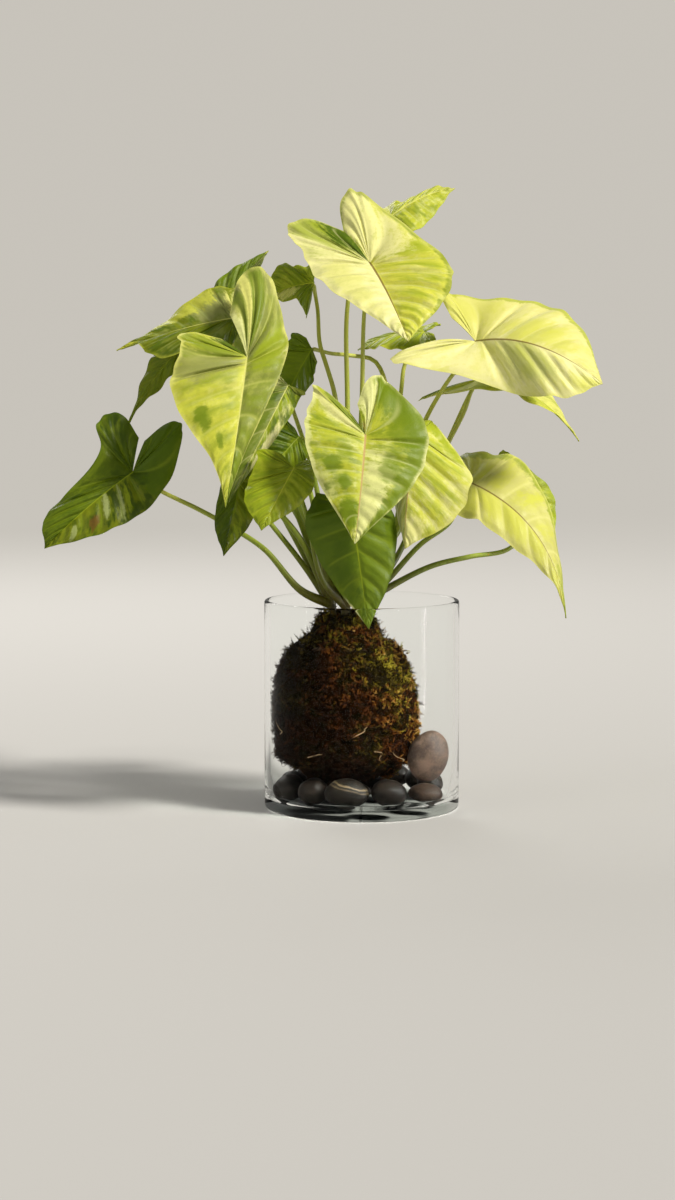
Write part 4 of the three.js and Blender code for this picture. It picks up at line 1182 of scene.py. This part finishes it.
def pebble_shell(order, middle, half, turns):
    """A unit sphere, times 1 plus a wave in x and y, times the half sizes."""
    rise = np.linspace(-np.pi / 2, np.pi / 2, PEBBLE_RINGS)[1:-1, None]
    ball = circles(np.cos(rise), np.sin(rise), PEBBLE_SIDES)
    points, triangles = loft([0, 0, -1], ball, [0, 0, 1])
    swell = 1 + 0.05 * np.sin(2.5 * points[:, 0] + order) * np.cos(2 * points[:, 1] - order)
    swell = swell + 0.012 * ripples(points, 0.8, order, 20)
    return turned(points * swell[:, None] * half, turns) + middle, triangles


def pebble_finish(name, tint, band=None):
    """Matt stone: a dark tint, lighter clouds and fine grain. band: the level and slope of a
    pale vein through the stone, or none. A fainter vein runs just below it."""
    material, wire, sockets = new_finish("stone_" + name, Specular_IOR_Level=0.15)
    place = wire.place()
    cloud, grain = place.noise(75.0, 5.0, 0.65), place.noise(900.0, 3.0, 0.7)
    light = tuple(channel * 3.6 for channel in tint[:3]) + (1.0,)
    color = (cloud * 0.9 + grain * 0.35).step(0.48, 0.78).blend(tint, light)
    if band:
        level, slope = band
        x, _, z = place.axes()
        line = z + x * slope + (cloud - 0.5) * 0.006 - level
        for below, strength in ((0.0, 0.8), (0.0026, 0.4)):
            vein = (line + below).math("ABSOLUTE").step(0.0008, 0.0003)
            color = (vein * strength).blend(color, paint("75664c"))
    connect(color, sockets["Base Color"])
    connect(grain * 0.25 + 0.35, sockets["Roughness"])
    connect_bump(grain * 0.3 + cloud, 0.3, 0.0006, sockets)
    return material


stone_dark = pebble_finish("dark", paint("0d0906"))
stone_grey = pebble_finish("grey", paint("372c25"))
stone_brown = pebble_finish("brown", paint("241b15"))
stone_banded = pebble_finish("banded", paint("0c0906"), band=(0.0226, 0.29))
SPECIAL_STONES = {"leaning": stone_grey, "banded": stone_banded, "right_front": stone_brown}
for order, (name, (middle, half, turns)) in enumerate(PEBBLES.items()):
    stone = SPECIAL_STONES.get(name, stone_dark)
    shell = pebble_shell(order, middle, half, turns)
    make_piece(name + "_pebble", shell, stone, "pebble", ["pebble_" + name], crease=180)

# %% [markdown]
# ## The glass cylinder
# The vase is a section turned round the upright axis: a thick base with rounded corners,
# straight walls and a fire-polished rim. Clear glass bends the light that passes through,
# which draws the dark and bright lines along the walls and the base. Lamps can't shine
# through such a surface without noise, so for the rays that look for a lamp the material
# is plain transparent.

# %% Glass
VASE_RADIUS, VASE_HEIGHT, VASE_WALL, VASE_CORNER = 75, 162, 4, 5
VASE_SIDES, CORNER_STEPS, RIM_STEPS = 144, 9, 7
FLAT_REACHES, WALL_HEIGHTS = [20, 50], [30, 70, 110, 140]  # rings on the flats and on the walls
GLASS_INDEX = 1.08  # less than real glass, whose mirror image of the pale room veils the moss


def quarter(x, z, radius, start, steps):
    """Points on a quarter circle round (x, z), from start on, in degrees."""
    angle = np.radians(np.linspace(start, start + 90, steps))
    return np.stack([x + radius * np.cos(angle), z + radius * np.sin(angle)], axis=1)


def vase_shell():
    """The section from the middle of the underside out, up the wall, over the rim and down
    to the middle of the inside, turned round the axis."""
    inner, lip = VASE_RADIUS - VASE_WALL, VASE_WALL / 2
    well = VASE_FLOOR + VASE_CORNER
    hollow = quarter(inner - VASE_CORNER, well, VASE_CORNER, 0, CORNER_STEPS)[::-1]
    section = np.vstack([
        [(reach, 0) for reach in FLAT_REACHES],
        quarter(VASE_RADIUS - VASE_CORNER, VASE_CORNER, VASE_CORNER, -90, CORNER_STEPS),
        [(VASE_RADIUS, z) for z in WALL_HEIGHTS],
        quarter(VASE_RADIUS - lip, VASE_HEIGHT - lip, lip, 0, RIM_STEPS),
        quarter(inner + lip, VASE_HEIGHT - lip, lip, 90, RIM_STEPS)[1:],
        [(inner, z) for z in WALL_HEIGHTS[::-1]],
        hollow * [1, -1] + [0, 2 * well],
        [(reach, VASE_FLOOR) for reach in FLAT_REACHES[::-1]],
    ])
    rings = circles(section[:, :1], section[:, 1:], VASE_SIDES)
    return loft([0, 0, 0], rings, [0, 0, VASE_FLOOR])


def glass_finish():
    """Clear glass, with a plain transparent stand-in for the rays that look for a lamp."""
    material, wire, _ = new_finish(
        "clear_glass", Base_Color=(0.98, 0.99, 0.985, 1.0), Roughness=0.0, IOR=GLASS_INDEX,
        Transmission_Weight=1.0,
    )
    lamp_ray = wire.node("LightPath", output="Is Shadow Ray")
    mix_shader(wire, lamp_ray, "BsdfTransparent", (0.93, 0.95, 0.94, 1.0))
    return material


make_piece("glass_cylinder", vase_shell(), glass_finish(), "glass", ["glass_vase"], crease=50)

# %% [markdown]
# ## Floor and light
# A plain pale floor and a pale backdrop keep the eye on the plant. The key light is a sun
# to the upper right of the camera, wide enough for soft edges. It lights the whole floor
# evenly, so floor and backdrop can share one grey and no horizon shows. The backdrop is
# what the camera sees of the sky, straight or through the glass. The light that the sky
# gives is weaker, which keeps the shadows between the leaves deep, and two lamps open them
# up on the left and behind. A tall narrow light on the right is there for the glass alone:
# its mirror image is the upright streak that shows the wall's curve.

# %% Stage
FLOOR_SIZE = 40.0
FLOOR_COLOR = np.array([0.437, 0.431, 0.425])
SKY_LIGHT = np.array([0.345, 0.337, 0.31])
SUN_COLOR = np.array([1.0, 0.96, 0.88])
SUN_STRENGTH, SUN_SPREAD = 4.4, 11
SUN_RISE, SUN_SWING = 44, 60  # degrees above the floor, and to the right of the camera
STRIP_PLACE, STRIP_WATTS, STRIP_SIZE = (0.62, -0.17, 0.1), 7.0, (0.03, 0.5)
LAMPS = {  # place, width and watts
    "left_lamp": ((-1.9, -1.3, 1.0), 1.2, 6),
    "back_lamp": ((-0.7, 1.8, 1.5), 1.0, 16),
}
LAMP_TARGET, LAMP_COLOR = (0, 0, 0.28), (1.0, 0.98, 0.95)
sunlight = SUN_STRENGTH * math.sin(math.radians(SUN_RISE)) / math.pi * SUN_COLOR
BACKDROP = FLOOR_COLOR * (sunlight + SKY_LIGHT)  # what the floor sends back far from the plant

floor_mesh = bpy.data.meshes.new("floor")
corners = [(x * FLOOR_SIZE, y * FLOOR_SIZE, 0) for x, y in ((-1, -1), (1, -1), (1, 1), (-1, 1))]
floor_mesh.from_pydata(corners, [], [(0, 1, 2, 3)])
floor_paint, _, _ = new_finish(
    "floor_paint", Base_Color=(*FLOOR_COLOR, 1.0), Roughness=0.9, Specular_IOR_Level=0.0
)
floor_mesh.materials.append(floor_paint)
floor = bpy.data.objects.new("floor", floor_mesh)
bpy.context.collection.objects.link(floor)

world = bpy.data.worlds.new("sky")
world.use_nodes = True
sky = Wire(world.node_tree)
ray = sky.node("LightPath", output="Is Camera Ray")
seen = ray + sky.node("LightPath", output="Is Transmission Ray")
shown = seen.blend((*SKY_LIGHT, 1.0), (*BACKDROP, 1.0))
connect(shown, world.node_tree.nodes["Background"].inputs["Color"])
bpy.context.scene.world = world
bpy.context.scene.view_settings.view_transform = "Standard"


def add_light(name, kind, energy, color, place, turn, **settings):
    """A light of a kind at a place, turned, with its further settings. Returns its holder."""
    light = bpy.data.lights.new(name, kind)
    light.energy, light.color = energy, color
    for setting, value in settings.items():
        setattr(light, setting, value)
    holder = bpy.data.objects.new(name, light)
    holder.location, holder.rotation_euler = place, turn
    bpy.context.collection.objects.link(holder)
    return holder


def aim(place, target):
    """The turn that points a light's -Z from its place to a target, with no roll."""
    x, y, z = np.subtract(target, place)
    return (math.atan2(math.hypot(x, y), -z), 0, math.atan2(y, x) - math.pi / 2)


sun_turn = (math.radians(90 - SUN_RISE), 0, math.radians(SUN_SWING))
spread = math.radians(SUN_SPREAD)
add_light("sun", "SUN", SUN_STRENGTH, SUN_COLOR, (1, -1, 2), sun_turn, angle=spread)
for name, (place, width, watts) in LAMPS.items():
    add_light(name, "AREA", watts, LAMP_COLOR, place, aim(place, LAMP_TARGET), size=width)
strip = add_light(
    "strip", "AREA", STRIP_WATTS, (1.0, 1.0, 1.0), STRIP_PLACE,
    aim(STRIP_PLACE, (0, 0, STRIP_PLACE[2])),
    shape="RECTANGLE", size=STRIP_SIZE[0], size_y=STRIP_SIZE[1],
)
strip.visible_diffuse = False
print("floor, sky and four lights")
